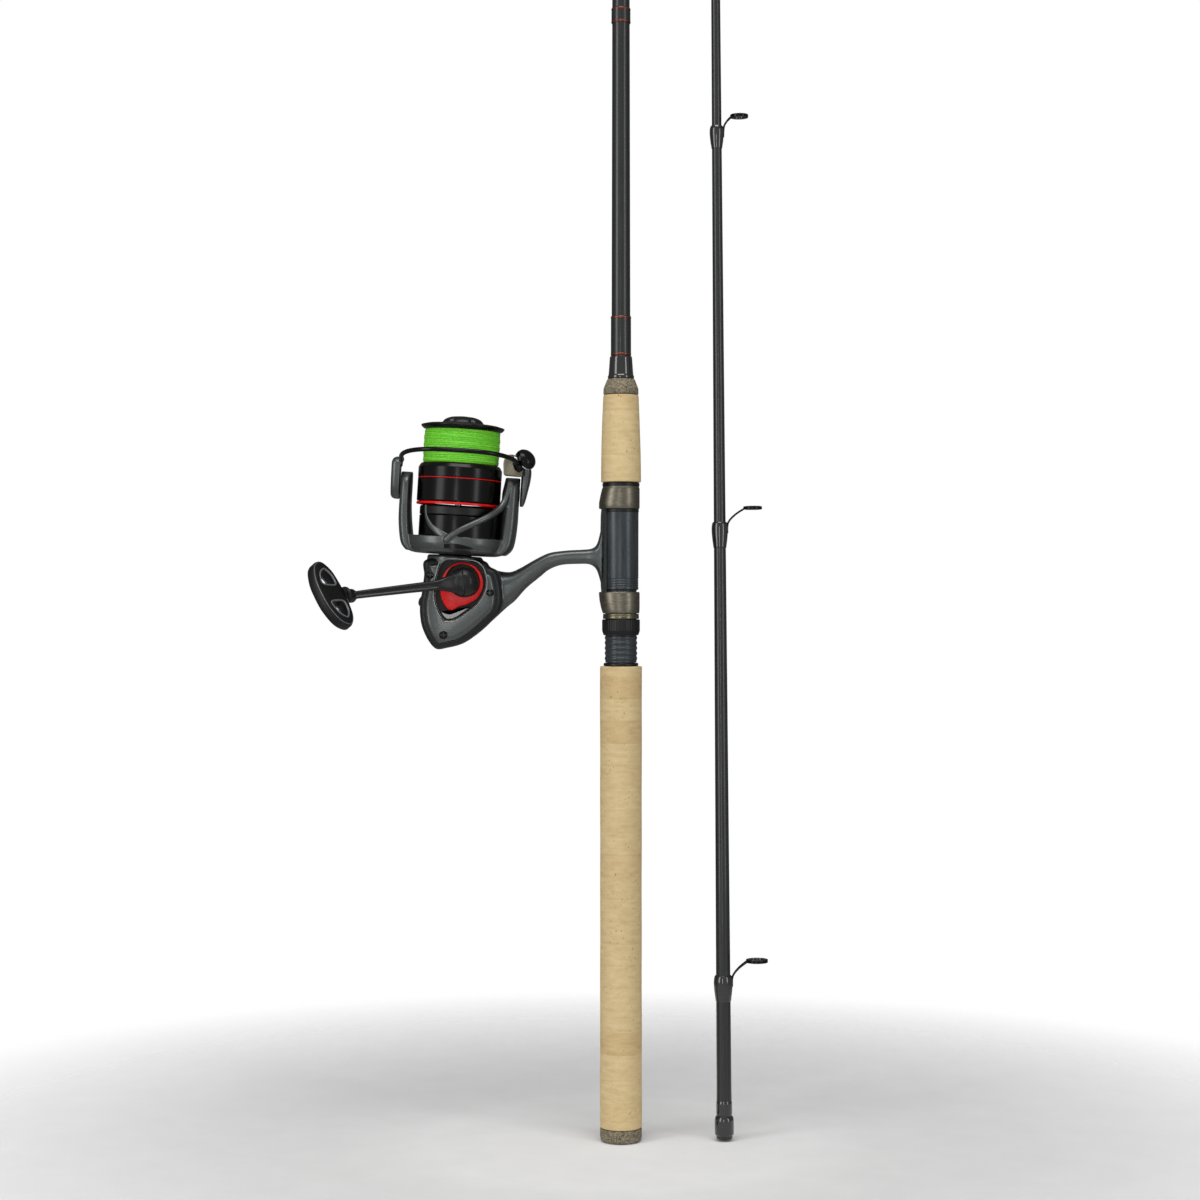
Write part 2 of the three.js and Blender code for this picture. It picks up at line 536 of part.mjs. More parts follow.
addReel("main_shaft", disc(2, -12, 97.5, 20), "steel", 0.2, 1);
const crossheadTop = OSC_S + 8 + 3.2;
const crosshead = cut(
  plate([[-6, crossheadTop - 6.4], [12.8, crossheadTop - 6.4], [12.8, crossheadTop], [-6, crossheadTop]],
    -4.2, 3.4, 0),
  plate([[-5, crossheadTop - 5.4], [11.8, crossheadTop - 5.4], [11.8, crossheadTop - 1],
    [-5, crossheadTop - 1]], -5, -2.8),
  disc(2 + GAP, -30, 4, 20),
);
addReel("crosshead", crosshead, "steel", 0.4, 0.7);

// ---------- reel: rotor ----------
const bowl = turned([[0, 17.8], [25, 17.8], [29.5, 19.6], [31.5, 24], [31.8, 28.4], [0, 28.4]],
  32).scale(1, 0.9, 1);
const armBase = [[-14, 19], [14, 19], [13, 32], [10.5, 48], [10.5, BAIL_HINGE_S]];
const armTop = [];
for (let i = 0; i <= 8; i += 1) {
  const angle = (i * Math.PI) / 8;
  armTop.push([10.5 * Math.cos(angle), BAIL_HINGE_S + 10.5 * Math.sin(angle)]);
}
const armSide = [...armBase, ...armTop.slice(1), [-10.5, 48], [-13, 32]];
const leftArmFront = [[-26, 19], [-26.6, 28.4], [-28, 36], [-29, 48], [-29, 68], [-36, 68], [-36.4, 40],
  [-34.6, 27], [-31.6, 20.6]];
const rightArmFront = [[27, 19], [33.5, 19.8], [36.2, 25], [37.6, 40], [37.6, 68], [28.6, 68], [26.8, 50],
  [26.8, 28]];
const leftArm = common(sidePlate(armSide, -38, -26, 0), plate(leftArmFront, -16, 16));
const rightArm = common(sidePlate(armSide, 26, 39, 0), plate(rightArmFront, -16, 16));
const wallOutline = [[36, 22], [36, 60], [29.2, 62], [28.2, 52], [25.4, 46.4], [19, 41], [12, 36.6],
  [5, 32.4], [-2, 28], [-5.5, 25], [-2, 22]];
const rotorWall = common(ring(26.6, 28.4, 21, 62, 26), plate(wallOutline, -32, 26));
const ribPath = [[30, -8.4, 62], [29.4, -11, 53], [26, -15.6, 46.6], [19.4, -22.6, 41], [10, -28, 35],
  [0, -29, 28.6], [-3, -27.5, 25.4]];
const ribFront = sweep(ribPath, 1.7, 1.7, 9, 6);
const ribBack = sweep(ribPath.map(([x, y, s]) => [x, -y, s]), 1.7, 1.7, 9, 6);
const skirtSweep = ring(20, 26.3, 28.5, 80, 26);
const skirtSpace = cut(skirtSweep, ring(19, 24.2, 28, 81, 26));
const pivotHole = alongX(disc(2.3, -50, 50, 16), 0, BAIL_HINGE_S);
const rotorShape = cut(join(bowl, leftArm, rightArm, rotorWall, ribFront, ribBack), skirtSpace, pivotHole,
  disc(3.7, 20, 30, 22),
  disc(10.2, 17, 24.2, 26));
addReel("rotor", rotorShape, "reel", 0.4, 0.7);
addReel("rotor_cup", turned([[7.4, 28.7], [23.6, 28.7], [23.6, 46.5], [22.6, 47.4], [7.4, 47.4],
  [7.4, 45.6], [21.4, 45.6], [21.4, 31], [7.4, 31], [7.4, 28.7]], 22),
  "gloss", 0.15, 0.1);
addReel("rotor_nut", cut(disc(6.6, 28.7, 32.6, 6), disc(3.7, 28, 34, 24)), "steel", 0.3, 0.9);

// ---------- reel: bail ----------
const LEVER_OUTER = 42.4;
const COVER_AXIS = new THREE.Vector3(0.62, -0.5, 0.6).normalize();
const COVER_BASE = new THREE.Vector3(39.5, -8.4, 78.1);
const COVER_RADIUS = 6.9;
const WIRE_ROUNDNESS = 2.6;
const WIRE_START_S = 74.2;
const wirePoints = [];
for (let i = 0; i <= 12; i += 1) {
  const t = -1 + i / 6;
  const share = Math.sin((t * Math.PI) / 2);
  const depth = (1 - Math.abs(share) ** WIRE_ROUNDNESS) ** (1 / WIRE_ROUNDNESS);
  const y = -7 - (BAIL_DEPTH - 7) * depth;
  const s = WIRE_START_S + (BAIL_APEX_S - WIRE_START_S) * depth ** 0.9;
  wirePoints.push([share * BAIL_HALF_WIDTH, y, s]);
}
const wireEnds = [[-BAIL_HALF_WIDTH - 2.4, -4, 72.6], [BAIL_HALF_WIDTH - 0.8, -6, 74.8]];
const wirePath = [wireEnds[0], ...wirePoints.slice(0, -1), wireEnds[1]];
addReel("bail_wire", sweep(wirePath, WIRE_RADIUS, WIRE_RADIUS, 26, 6), "gloss", 0.2, 0.6);

function leverOutline(top, halfTop, bottom) {
  return smooth([[-4.6, BAIL_HINGE_S - 1], [-halfTop - 1.6, top - 8], [-halfTop - 0.4, top - 2], [0, top],
    [halfTop - 2, top - 3], [4.6, BAIL_HINGE_S + 3],
    [3.6, bottom + 2], [0, bottom]], 26);
}
const leftSocket = sweep(wirePath.slice(0, 4), WIRE_RADIUS + GAP, WIRE_RADIUS + GAP, 10, 10);
const [endX, endY, endS] = wirePath[0];
const socketEnd = sweep([wirePath[0], [endX - 1.6, endY + 1.4, endS - 0.9]], 1.5, 1.5, 1, 10);
const bailLever = sidePlate(leverOutline(76.4, 5.4, 50.4), -LEVER_OUTER, -36.8, 0.9);
addReel("bail_lever", cut(bailLever, leftSocket, socketEnd), "reel", 0.35, 0.7);

const guard = plate([[27.9, 68.6], [38.4, 68.2], [38.4, 82], [33.5, 81.6], [28.4, 80]], -12.6, -9.4, 0.6);
const armPlate = join(
  sidePlate(leverOutline(84.5, 6.6, 49.8), 38, 40.6, 0.5),
  sidePlate(leverOutline(71.8, 4.2, 52), 39, 43.4, 1.2),
);
const ROLLER_Y = -1.8;
const ROLLER_S = 78.4;
const rollerPin = alongX(disc(1.5, 30.6, 39, 16), ROLLER_Y, ROLLER_S);
const bridge = sidePlate([[-11, 69], [-3, 69.4], [-3, 73.6], [-11, 76]], 36.4, 39);
const bailArm = join(armPlate, guard, bridge, rollerPin);
const wireSocket = sweep(wirePath.slice(-4), WIRE_RADIUS + GAP, WIRE_RADIUS + GAP, 8, 10);
const crosswise = new THREE.Vector3(0, 0, 1).cross(COVER_AXIS).normalize();
const upright = COVER_AXIS.clone().cross(crosswise);
const coverMatrix = new THREE.Matrix4().makeBasis(crosswise, upright, COVER_AXIS)
  .setPosition(COVER_BASE);
const coverRoom = disc(COVER_RADIUS + GAP, -GAP, 10).applyMatrix4(coverMatrix);
addReel("bail_arm", cut(bailArm, wireSocket, coverRoom), "gunmetal", 0.35, 0.8);

const rollerProfile = [[1.8, 31], [3.6, 31], [2.9, 34], [3.6, 37.4], [1.8, 37.4], [1.8, 31]];
addReel("line_roller", alongX(turned(rollerProfile, 20), ROLLER_Y, ROLLER_S), "steel", 0.15, 1);
const coverCap = turned([[0, 0], [6.4, 0], [COVER_RADIUS, 1.2], [6.3, 3.3], [4.7, 5], [2.6, 5.8], [0, 6.1]]);
addReel("roller_cover", coverCap.applyMatrix4(coverMatrix), "gloss", 0.2, 0.1);

// ---------- reel: spool ----------
const LIP_BOTTOM = 95;
const LIP_TOP = 98.5;
const spool = turned([[2.3, 60], [7, 60], [7, SKIRT_TOP - 0.8], [SKIRT_BORE, SKIRT_TOP - 0.8],
  [SKIRT_BORE, 50],
  [SKIRT_RADIUS, 50], [SKIRT_RADIUS, SKIRT_TOP], [24.6, SKIRT_TOP + 1.8], [17.6, SKIRT_TOP + 1.8],
  [17.6, LIP_BOTTOM], [24.8, LIP_BOTTOM], [SKIRT_RADIUS, 96.2], [SKIRT_RADIUS, 97.6], [24.6, LIP_TOP],
  [15, LIP_TOP], [15, 85.6], [2.3, 85.6], [2.3, 60]], 26);
addReel("spool", spool, "gloss", 0.15, 0.3);
addReel("skirt_trim_ring", ring(SKIRT_BORE, SKIRT_RADIUS, 48, 50 - GAP, 26), "red", 0.2, 0.2);
const LINE_BOTTOM = SKIRT_TOP + 2.1;
const braidedLine = turned([[17.9, LINE_BOTTOM], [23, LINE_BOTTOM], [23.5, LINE_BOTTOM + 1.4], [23.6, 85],
  [23.3, 93.4], [22.6, LIP_BOTTOM - GAP], [17.9, LIP_BOTTOM - GAP], [17.9, LINE_BOTTOM]], 26);
addReel("braided_line", braidedLine, "line", 0.7, 0);
addReel("drag_washers", ring(2.3, 14.6, 85.9, 90.6, 26), "carbon", 0.7, 0.1);
const dragKnob = cut(
  turned([[0, 91], [13.2, 91], [13.2, 99], [11.6, 101.4], [7.5, 103.2], [0, 103.8]], 22),
  disc(2 + GAP, 90, 97.8, 20),
  ...[0, 1, 2, 3, 4, 5].map((i) => disc(1.6, 98.7, 106, 10).translate(13.4, 0, 0).rotateZ((i * Math.PI) / 3)),
);
addReel("drag_knob", dragKnob, "black", 0.4, 0.1);

// ---------- reel: crank ----------
const ARM_END = new THREE.Vector3(-58.5, -52, -11.4);
const hub = alongY(turned([[0, 21.8], [7.4, 21.8], [8.2, 23], [8.4, 36], [7, 39.6], [0, 40.6]], 26),
  HANDLE_X, 0, HANDLE_S);
const crankPath = [[HANDLE_X, -35.5, HANDLE_S], [-4, -37.5, -1.2], [-18, -42.5, -3.8], [-32, -47.8, -6.4],
  [-46, -51, -9], [ARM_END.x + 1, ARM_END.y, ARM_END.z]];
const crankBar = sweep(crankPath, 3.6, 2.3, 10, 8);
const crankEye = disc(4.6, -2.6, 2.6, 20);
const knobAxis = new THREE.Vector3(-Math.sin(KNOB_SPLAY), -Math.cos(KNOB_SPLAY), -0.03).normalize();
const paddleLong = new THREE.Vector3(-Math.sin(PADDLE_TILT), 0, Math.cos(PADDLE_TILT));
paddleLong.setY(-paddleLong.dot(knobAxis) / knobAxis.y).normalize();
const paddleNormal = new THREE.Vector3().crossVectors(paddleLong, knobAxis);
const knobMatrix = new THREE.Matrix4().makeBasis(paddleLong, paddleNormal, knobAxis).setPosition(ARM_END);
const PIN_RADIUS = 2.2;
const PIN_LENGTH = 23;
const knobPin = disc(PIN_RADIUS, 0, PIN_LENGTH, 16);
addReel("crank_arm", join(hub, crankBar, crankEye.applyMatrix4(knobMatrix),
  knobPin.applyMatrix4(knobMatrix)), "black", 0.35, 0.5);

const paddleOutline = smooth([[-23, 14.5], [-19, 23], [-9, 27.4], [0, 28], [9, 27.4], [19, 23],
  [23, 14.5], [16, 8], [7, 6.3], [0, 6], [-7, 6.3], [-16, 8]], 22);
const windowOutline = smooth([[6.4, 10.6], [13.4, 11.2], [17, 15], [13.8, 20.4], [6.4, 22.6]], 14);
const paddle = plate(paddleOutline, -PADDLE_HALF_THICKNESS, PADDLE_HALF_THICKNESS, 1.6);
const collar = turned([[0, 3.2], [5.6, 3.2], [4.6, 5], [5.4, 8], [0, 8]], 24);
const windows = [1, -1].map((side) => plate(windowOutline.map(([u, v]) => [u * side, v]), -5, 5));
const knob = cut(join(paddle, collar), ...windows, disc(PIN_RADIUS + GAP, 2, PIN_LENGTH + GAP, 20));
addReel("knob", knob.applyMatrix4(knobMatrix), "rubber", 0.6, 0);

export default model;
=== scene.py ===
"""Spinning rod in two sections with its spinning reel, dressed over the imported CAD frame."""
import json
import math
import bmesh
import bpy
from mathutils import Matrix, Vector


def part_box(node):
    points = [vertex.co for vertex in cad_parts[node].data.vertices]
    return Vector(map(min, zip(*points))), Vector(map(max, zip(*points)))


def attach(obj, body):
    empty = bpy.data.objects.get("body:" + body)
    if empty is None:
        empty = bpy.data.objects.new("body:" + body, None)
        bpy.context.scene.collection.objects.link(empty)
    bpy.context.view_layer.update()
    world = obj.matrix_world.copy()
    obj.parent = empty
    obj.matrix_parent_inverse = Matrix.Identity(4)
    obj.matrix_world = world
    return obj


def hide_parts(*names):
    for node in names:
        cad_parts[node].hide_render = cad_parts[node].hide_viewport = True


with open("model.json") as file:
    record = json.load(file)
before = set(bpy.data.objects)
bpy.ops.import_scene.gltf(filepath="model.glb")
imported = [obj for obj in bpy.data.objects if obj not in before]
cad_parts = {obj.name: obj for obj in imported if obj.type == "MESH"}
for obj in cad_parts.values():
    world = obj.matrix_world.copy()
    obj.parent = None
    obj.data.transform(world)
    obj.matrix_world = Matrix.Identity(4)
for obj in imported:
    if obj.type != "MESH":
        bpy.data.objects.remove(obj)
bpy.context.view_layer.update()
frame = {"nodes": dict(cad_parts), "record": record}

MM = 0.001
ROW = Matrix.Identity(4)
JOINTS = {joint["name"]: joint for joint in frame["record"]["behaviour"]["joints"]}


def axes_matrix(x, y, z, origin):
    rows = [[x[i], y[i], z[i], origin[i]] for i in range(3)]
    return Matrix(rows + [[0, 0, 0, 1]])


# The reel's own frame: x across the spool, s along its axis, y as in the row.
spool_axis = Vector(JOINTS["rotor_spin"]["axis"]).normalized()
across = Vector((0, 1, 0)).cross(spool_axis).normalized()
reel_origin = Vector(JOINTS["rotor_spin"]["pos_m"]) - spool_axis * 25 * MM
REEL = axes_matrix(across, Vector((0, 1, 0)), spool_axis, reel_origin)

# The tip section's frame: its axis leans a little towards the butt section.
tip_axis = Vector(JOINTS["tip_section_lift"]["axis"]).normalized()
tip_high = Vector(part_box("tip_blank")[1])
TIP_BASE_X = tip_high.x - 5 * MM
TIP = axes_matrix(Vector((0, 1, 0)).cross(tip_axis), Vector((0, 1, 0)), tip_axis,
    Vector((TIP_BASE_X, 0, 1 * MM)))


# ---------- shapes ----------
def rounded(profile, radius=0.4, steps=3, closed=False):
    """Rounds the corners of a polyline of (r, z) points."""
    points = [Vector(p) for p in profile]
    out = []
    last = len(points) - 1
    for i, here in enumerate(points):
        if not closed and i in (0, last):
            out.append(tuple(here))
            continue
        before = points[i - 1]
        after = points[(i + 1) % len(points)]
        reach = min(radius, (before - here).length * 0.45, (after - here).length * 0.45)
        if reach < 1e-4:
            out.append(tuple(here))
            continue
        start = here + (before - here).normalized() * reach
        end = here + (after - here).normalized() * reach
        for k in range(steps + 1):
            t = k / steps
            out.append(tuple(start * (1 - t) ** 2 + here * 2 * t * (1 - t) + end * t * t))
    return out


def spline(points, count, closed=False):
    """Catmull-Rom points through the given ones."""
    pts = [Vector(p) for p in points]
    n = len(pts)
    spans = n if closed else n - 1
    out = []
    for i in range(spans):
        if closed:
            a, b, c, d = (pts[(i + k) % n] for k in (-1, 0, 1, 2))
        else:
            a, b, c, d = pts[max(i - 1, 0)], pts[i], pts[i + 1], pts[min(i + 2, n - 1)]
        for k in range(count):
            t = k / count
            out.append(0.5 * (2 * b + (c - a) * t + (2 * a - 5 * b + 4 * c - d) * t * t
                + (3 * b - a - 3 * c + d) * t ** 3))
    if not closed:
        out.append(pts[-1])
    return out


def offset(outline, distance):
    """Moves a closed outline of (x, z) points inwards."""
    pts = [Vector(p[:2]) for p in outline]
    area = sum(a.x * b.y - b.x * a.y for a, b in zip(pts, pts[1:] + pts[:1]))
    sign = 1 if area > 0 else -1
    out = []
    for i, here in enumerate(pts):
        tangent = (pts[(i + 1) % len(pts)] - pts[i - 1]).normalized()
        out.append(here + Vector((-tangent.y, tangent.x)) * distance * sign)
    return untangled(out, pts, distance) if distance > 1.5 else out


def untangled(moved, outline, distance):
    """Replaces points that fell past a tight corner by points on the line that bridges them."""
    kept = [min((p - q).length for q in outline) > distance * 0.98 for p in moved]
    count = len(moved)
    out = list(moved)
    for i in range(count):
        if kept[i]:
            continue
        back = next(k for k in range(1, count) if kept[i - k])
        ahead = next(k for k in range(1, count) if kept[(i + k) % count])
        out[i] = moved[i - back].lerp(moved[(i + ahead) % count], back / (back + ahead))
    return out


def mesh(name, verts, faces, finish, place=ROW, sharp=32):
    data = bpy.data.meshes.new(name)
    data.from_pydata([place @ (Vector(v) * MM) for v in verts], [], faces)
    obj = bpy.data.objects.new(name, data)
    bpy.context.scene.collection.objects.link(obj)
    data.materials.append(finish)
    repair(data)
    if sharp:
        data.set_sharp_from_angle(angle=math.radians(sharp))
    return obj


def repair(data):
    shape = bmesh.new()
    shape.from_mesh(data)
    bmesh.ops.remove_doubles(shape, verts=shape.verts, dist=1e-7)
    bmesh.ops.recalc_face_normals(shape, faces=shape.faces)
    for face in shape.faces:
        face.smooth = True
    shape.to_mesh(data)
    shape.free()


def strip(rings, closed_ring=True, caps=True):
    """Faces that join rings of equal length, with end caps."""
    n = len(rings[0])
    verts = [p for loop in rings for p in loop]
    faces = []
    for i in range(len(rings) - 1):
        for j in range(n if closed_ring else n - 1):
            k = (j + 1) % n
            faces.append((i * n + j, i * n + k, (i + 1) * n + k, (i + 1) * n + j))
    if caps:
        faces.append(tuple(range(n)))
        faces.append(tuple(range((len(rings) - 1) * n, len(rings) * n)))
    return verts, faces


def lathe(name, profile, finish, place=ROW, segments=72, wave=None, stretch=(1, 1)):
    """Solid of revolution about z; a profile that leaves the axis closes on itself."""
    on_axis = profile[0][0] < 1e-6 and profile[-1][0] < 1e-6
    loops = []
    points = profile if on_axis else list(profile) + [profile[0]]
    for r, z in points:
        loop = []
        for j in range(segments):
            angle = 2 * math.pi * j / segments
            radius = r + (wave(r, z, angle) if wave and r > 0 else 0)
            loop.append((radius * math.cos(angle) * stretch[0], radius * math.sin(angle) * stretch[1], z))
        loops.append(loop)
    verts, faces = strip(loops, caps=False)
    return mesh(name, verts, faces, finish, place)


def tube(name, path, radius, finish, place=ROW, sides=14, flat=1.0, up=(0, 0, 1), closed=False):
    """Round or flattened bar along a path; radius may be a list."""
    pts = [Vector(p) for p in path]
    count = len(pts)
    radii = radius if isinstance(radius, (list, tuple)) else [radius] * count
    if len(radii) != count:
        radii = [radii[int(i * (len(radii) - 1) / (count - 1))] for i in range(count)]
    normal = Vector(up)
    loops = []
    for i, here in enumerate(pts):
        if closed:
            tangent = (pts[(i + 1) % count] - pts[i - 1]).normalized()
        else:
            tangent = (pts[min(i + 1, count - 1)] - pts[max(i - 1, 0)]).normalized()
        side = tangent.cross(normal)
        if side.length < 1e-6:
            side = tangent.orthogonal()
        side.normalize()
        normal = side.cross(tangent).normalized()
        loop = []
        for j in range(sides):
            angle = 2 * math.pi * j / sides
            loop.append(here + (side * math.cos(angle) + normal * math.sin(angle) * flat) * radii[i])
        loops.append(loop)
    if closed:
        loops.append(loops[0])
    verts, faces = strip(loops, caps=not closed)
    return mesh(name, verts, faces, finish, place)


def slab(name, outline, layers, finish, place=REEL, sharp=28):
    """Plate drawn in (x, z), stacked through (y, inset) layers."""
    loops = [[(p.x, y, p.y) for p in offset(outline, inset)] for y, inset in layers]
    verts, faces = strip(loops)
    return mesh(name, verts, faces, finish, place, sharp)


def superloop(centre, half_u, half_v, u, v, power=3.0, count=28):
    """Rounded rectangle in the plane of the unit vectors u and v."""
    loop = []
    for j in range(count):
        angle = 2 * math.pi * j / count
        c, s = math.cos(angle), math.sin(angle)
        a = math.copysign(abs(c) ** (2 / power), c) * half_u
        b = math.copysign(abs(s) ** (2 / power), s) * half_v
        loop.append(Vector(centre) + Vector(u) * a + Vector(v) * b)
    return loop


def loft(name, loops, finish, place=REEL, sharp=32):
    verts, faces = strip(loops)
    return mesh(name, verts, faces, finish, place, sharp)


def apply_modifiers(obj):
    depsgraph = bpy.context.evaluated_depsgraph_get()
    result = bpy.data.meshes.new_from_object(obj.evaluated_get(depsgraph))
    obj.modifiers.clear()
    obj.data = result
    return obj


def cut(obj, *tools):
    for tool in tools:
        step = obj.modifiers.new("cut", "BOOLEAN")
        step.operation = "DIFFERENCE"
        step.solver = "MANIFOLD"
        step.object = tool
        apply_modifiers(obj)
        bpy.data.objects.remove(tool)
    for face in obj.data.polygons:
        face.use_smooth = True
    obj.data.set_sharp_from_angle(angle=math.radians(32))
    return obj


def fuse(name, parts, voxel, rounds, finish, keep=0.35):
    """Melts overlapping parts into one cast body with soft fillets."""
    verts, faces = [], []
    for part in parts:
        base = len(verts)
        verts += [v.co.copy() for v in part.data.vertices]
        faces += [tuple(base + i for i in p.vertices) for p in part.data.polygons]
        bpy.data.objects.remove(part)
    data = bpy.data.meshes.new(name)
    data.from_pydata(verts, [], faces)
    obj = bpy.data.objects.new(name, data)
    bpy.context.scene.collection.objects.link(obj)
    data.materials.append(finish)
    remesh = obj.modifiers.new("melt", "REMESH")
    remesh.mode = "VOXEL"
    remesh.voxel_size = voxel * MM
    smooth = obj.modifiers.new("relax", "SMOOTH")
    smooth.factor = 0.5
    smooth.iterations = rounds
    thin = obj.modifiers.new("thin", "DECIMATE")
    thin.ratio = keep
    apply_modifiers(obj)
    for face in obj.data.polygons:
        face.use_smooth = True
    return obj


# ---------- finishes ----------
class Finish:
    """A small node tree around one Principled shader."""

    def __init__(self, name, rough=0.4, metal=0.0, coat=0.0, specular=0.5):
        self.material = bpy.data.materials.new(name)
        self.material.use_nodes = True
        self.tree = self.material.node_tree
        self.shader = self.tree.nodes["Principled BSDF"]
        self.shader.inputs["Roughness"].default_value = rough
        self.shader.inputs["Metallic"].default_value = metal
        self.shader.inputs["Coat Weight"].default_value = coat
        self.shader.inputs["Coat Roughness"].default_value = 0.06
        self.shader.inputs["Specular IOR Level"].default_value = specular
        self.coords = self.node("ShaderNodeTexCoord").outputs["Object"]

    def node(self, kind, **values):
        made = self.tree.nodes.new(kind)
        for key, value in values.items():
            setattr(made, key, value)
        return made

    def link(self, source, target):
        self.tree.links.new(source, target)

    def mapped(self, scale):
        mapping = self.node("ShaderNodeMapping")
        mapping.inputs["Scale"].default_value = scale
        self.link(self.coords, mapping.inputs["Vector"])
        return mapping.outputs["Vector"]

    def noise(self, scale, stretch=(1, 1, 1), detail=4, roughness=0.6):
        made = self.node("ShaderNodeTexNoise")
        made.inputs["Scale"].default_value = scale
        made.inputs["Detail"].default_value = detail
        made.inputs["Roughness"].default_value = roughness
        self.link(self.mapped(stretch), made.inputs["Vector"])
        return made.outputs["Fac"]

    def cells(self, scale, stretch=(1, 1, 1), feature="F1", output="Distance"):
        made = self.node("ShaderNodeTexVoronoi", feature=feature)
        made.inputs["Scale"].default_value = scale
        self.link(self.mapped(stretch), made.inputs["Vector"])
        return made.outputs[output]

    def ramp(self, source, stops):
        made = self.node("ShaderNodeValToRGB")
        elements = made.color_ramp.elements
        while len(elements) < len(stops):
            elements.new(0.5)
        for element, (position, colour) in zip(elements, stops):
            element.position = position
            element.color = (*colour, 1) if len(colour) == 3 else colour
        self.link(source, made.inputs["Fac"])
        return made.outputs["Color"]

    def mix(self, factor, first, second, blend="MIX"):
        made = self.node("ShaderNodeMix", data_type="RGBA", blend_type=blend)
        for value, socket in ((factor, made.inputs["Factor"]), (first, made.inputs[6]),
            (second, made.inputs[7])):
            if hasattr(value, "is_output"):
                self.link(value, socket)
            else:
                socket.default_value = value
        return made.outputs[2]

    def math(self, operation, first, second=0.0, third=None):
        made = self.node("ShaderNodeMath", operation=operation)
        for value, socket in zip((first, second, third), made.inputs):
            if value is None:
                continue
            if hasattr(value, "is_output"):
                self.link(value, socket)
            else:
                socket.default_value = value
        return made.outputs[0]

    def span(self, source, low, high):
        made = self.node("ShaderNodeMapRange")
        made.inputs["To Min"].default_value = low
        made.inputs["To Max"].default_value = high
        self.link(source, made.inputs["Value"])
        return made.outputs["Result"]

    def height(self, index=2):
        split = self.node("ShaderNodeSeparateXYZ")
        self.link(self.coords, split.inputs["Vector"])
        return split.outputs[index]

    def colour(self, source):
        self.link(source, self.shader.inputs["Base Color"])

    def roughness(self, source, low, high):
        self.link(self.span(source, low, high), self.shader.inputs["Roughness"])

    def bump(self, source, strength=0.2, distance=0.0003):
        made = self.node("ShaderNodeBump")
        made.inputs["Strength"].default_value = strength
        made.inputs["Distance"].default_value = distance
        self.link(source, made.inputs["Height"])
        self.link(made.outputs["Normal"], self.shader.inputs["Normal"])


def linear(red, green, blue):
    return tuple((c / 255) ** 2.2 for c in (red, green, blue))


def grained(name, dark, light, scale, rough, metal=0.0, coat=0.0, stretch=(1, 1, 1), bump=0.05, spread=0.06,
    specular=0.5):
    made = Finish(name, rough, metal, coat, specular)
    grain = made.noise(scale, stretch)
    made.colour(made.ramp(grain, [(0.3, linear(*dark)), (0.7, linear(*light))]))
    made.roughness(made.noise(scale * 0.4, stretch), rough - spread, rough + spread)
    made.bump(grain, bump, 0.0002)
    return made.material


def cork_finish():
    made = Finish("cork", 0.82)
    slice_number = made.math("FLOOR", made.math("MULTIPLY", made.height(), 1 / CORK_SLICE))
    tone = made.node("ShaderNodeTexWhiteNoise", noise_dimensions="1D")
    made.link(slice_number, tone.inputs["W"])
    stops = [(0, linear(184, 156, 110)), (0.16, linear(196, 172, 126)), (0.9, linear(202, 180, 134))]
    base = made.ramp(tone.outputs["Value"], stops)
    cloud = made.noise(170, (0.7, 0.7, 2.2), 7, 0.68)
    stops = [(0.3, linear(172, 142, 96)), (0.5, linear(198, 174, 128)), (0.74, linear(214, 196, 154))]
    mixed = made.mix(0.5, base, made.ramp(cloud, stops))
    seam = made.math("FRACT", made.math("MULTIPLY", made.height(), 1 / CORK_SLICE))
    seam_tone = linear(224, 208, 180)
    stops = [(0.0, seam_tone), (0.02, (1, 1, 1)), (0.98, (1, 1, 1)), (1.0, seam_tone)]
    lined = made.mix(0.35, mixed, made.ramp(seam, stops), "MULTIPLY")
    pit = made.cells(560, (1, 1, 0.45))
    patchy = made.math("ADD", pit, made.math("MULTIPLY", made.noise(90), 0.55))
    pit_mask = made.ramp(patchy, [(0.33, (0.8, 0.8, 0.8)), (0.4, (0, 0, 0))])
    made.colour(made.mix(pit_mask, lined, (*linear(126, 88, 48), 1)))
    made.roughness(cloud, 0.72, 0.92)
    made.bump(made.math("SUBTRACT", made.math("MULTIPLY", cloud, 0.4), pit_mask), 0.4, 0.0003)
    return made.material


def composite_finish():
    made = Finish("composite_cork", 0.85)
    chips = made.cells(1500, output="Color")
    split = made.node("ShaderNodeSeparateColor")
    made.link(chips, split.inputs["Color"])
    stops = [(0.0, linear(66, 60, 50)), (0.25, linear(102, 94, 78)), (0.5, linear(120, 110, 90)),
             (0.75, linear(142, 130, 106)), (1.0, linear(84, 80, 70))]
    made.colour(made.ramp(split.outputs[0], stops))
    made.roughness(split.outputs[1], 0.7, 0.95)
    made.bump(split.outputs[0], 0.3, 0.0003)
    return made.material


def line_finish():
    made = Finish("braided_line", 0.5, specular=0.5)
    weave = made.noise(900, (1, 1, 6), 3)
    made.colour(made.ramp(weave, [(0.3, linear(58, 150, 22)), (0.5, linear(104, 202, 40)),
        (0.72, linear(160, 232, 84))]))
    made.roughness(weave, 0.45, 0.7)
    made.bump(weave, 0.5, 0.0002)
    return made.material


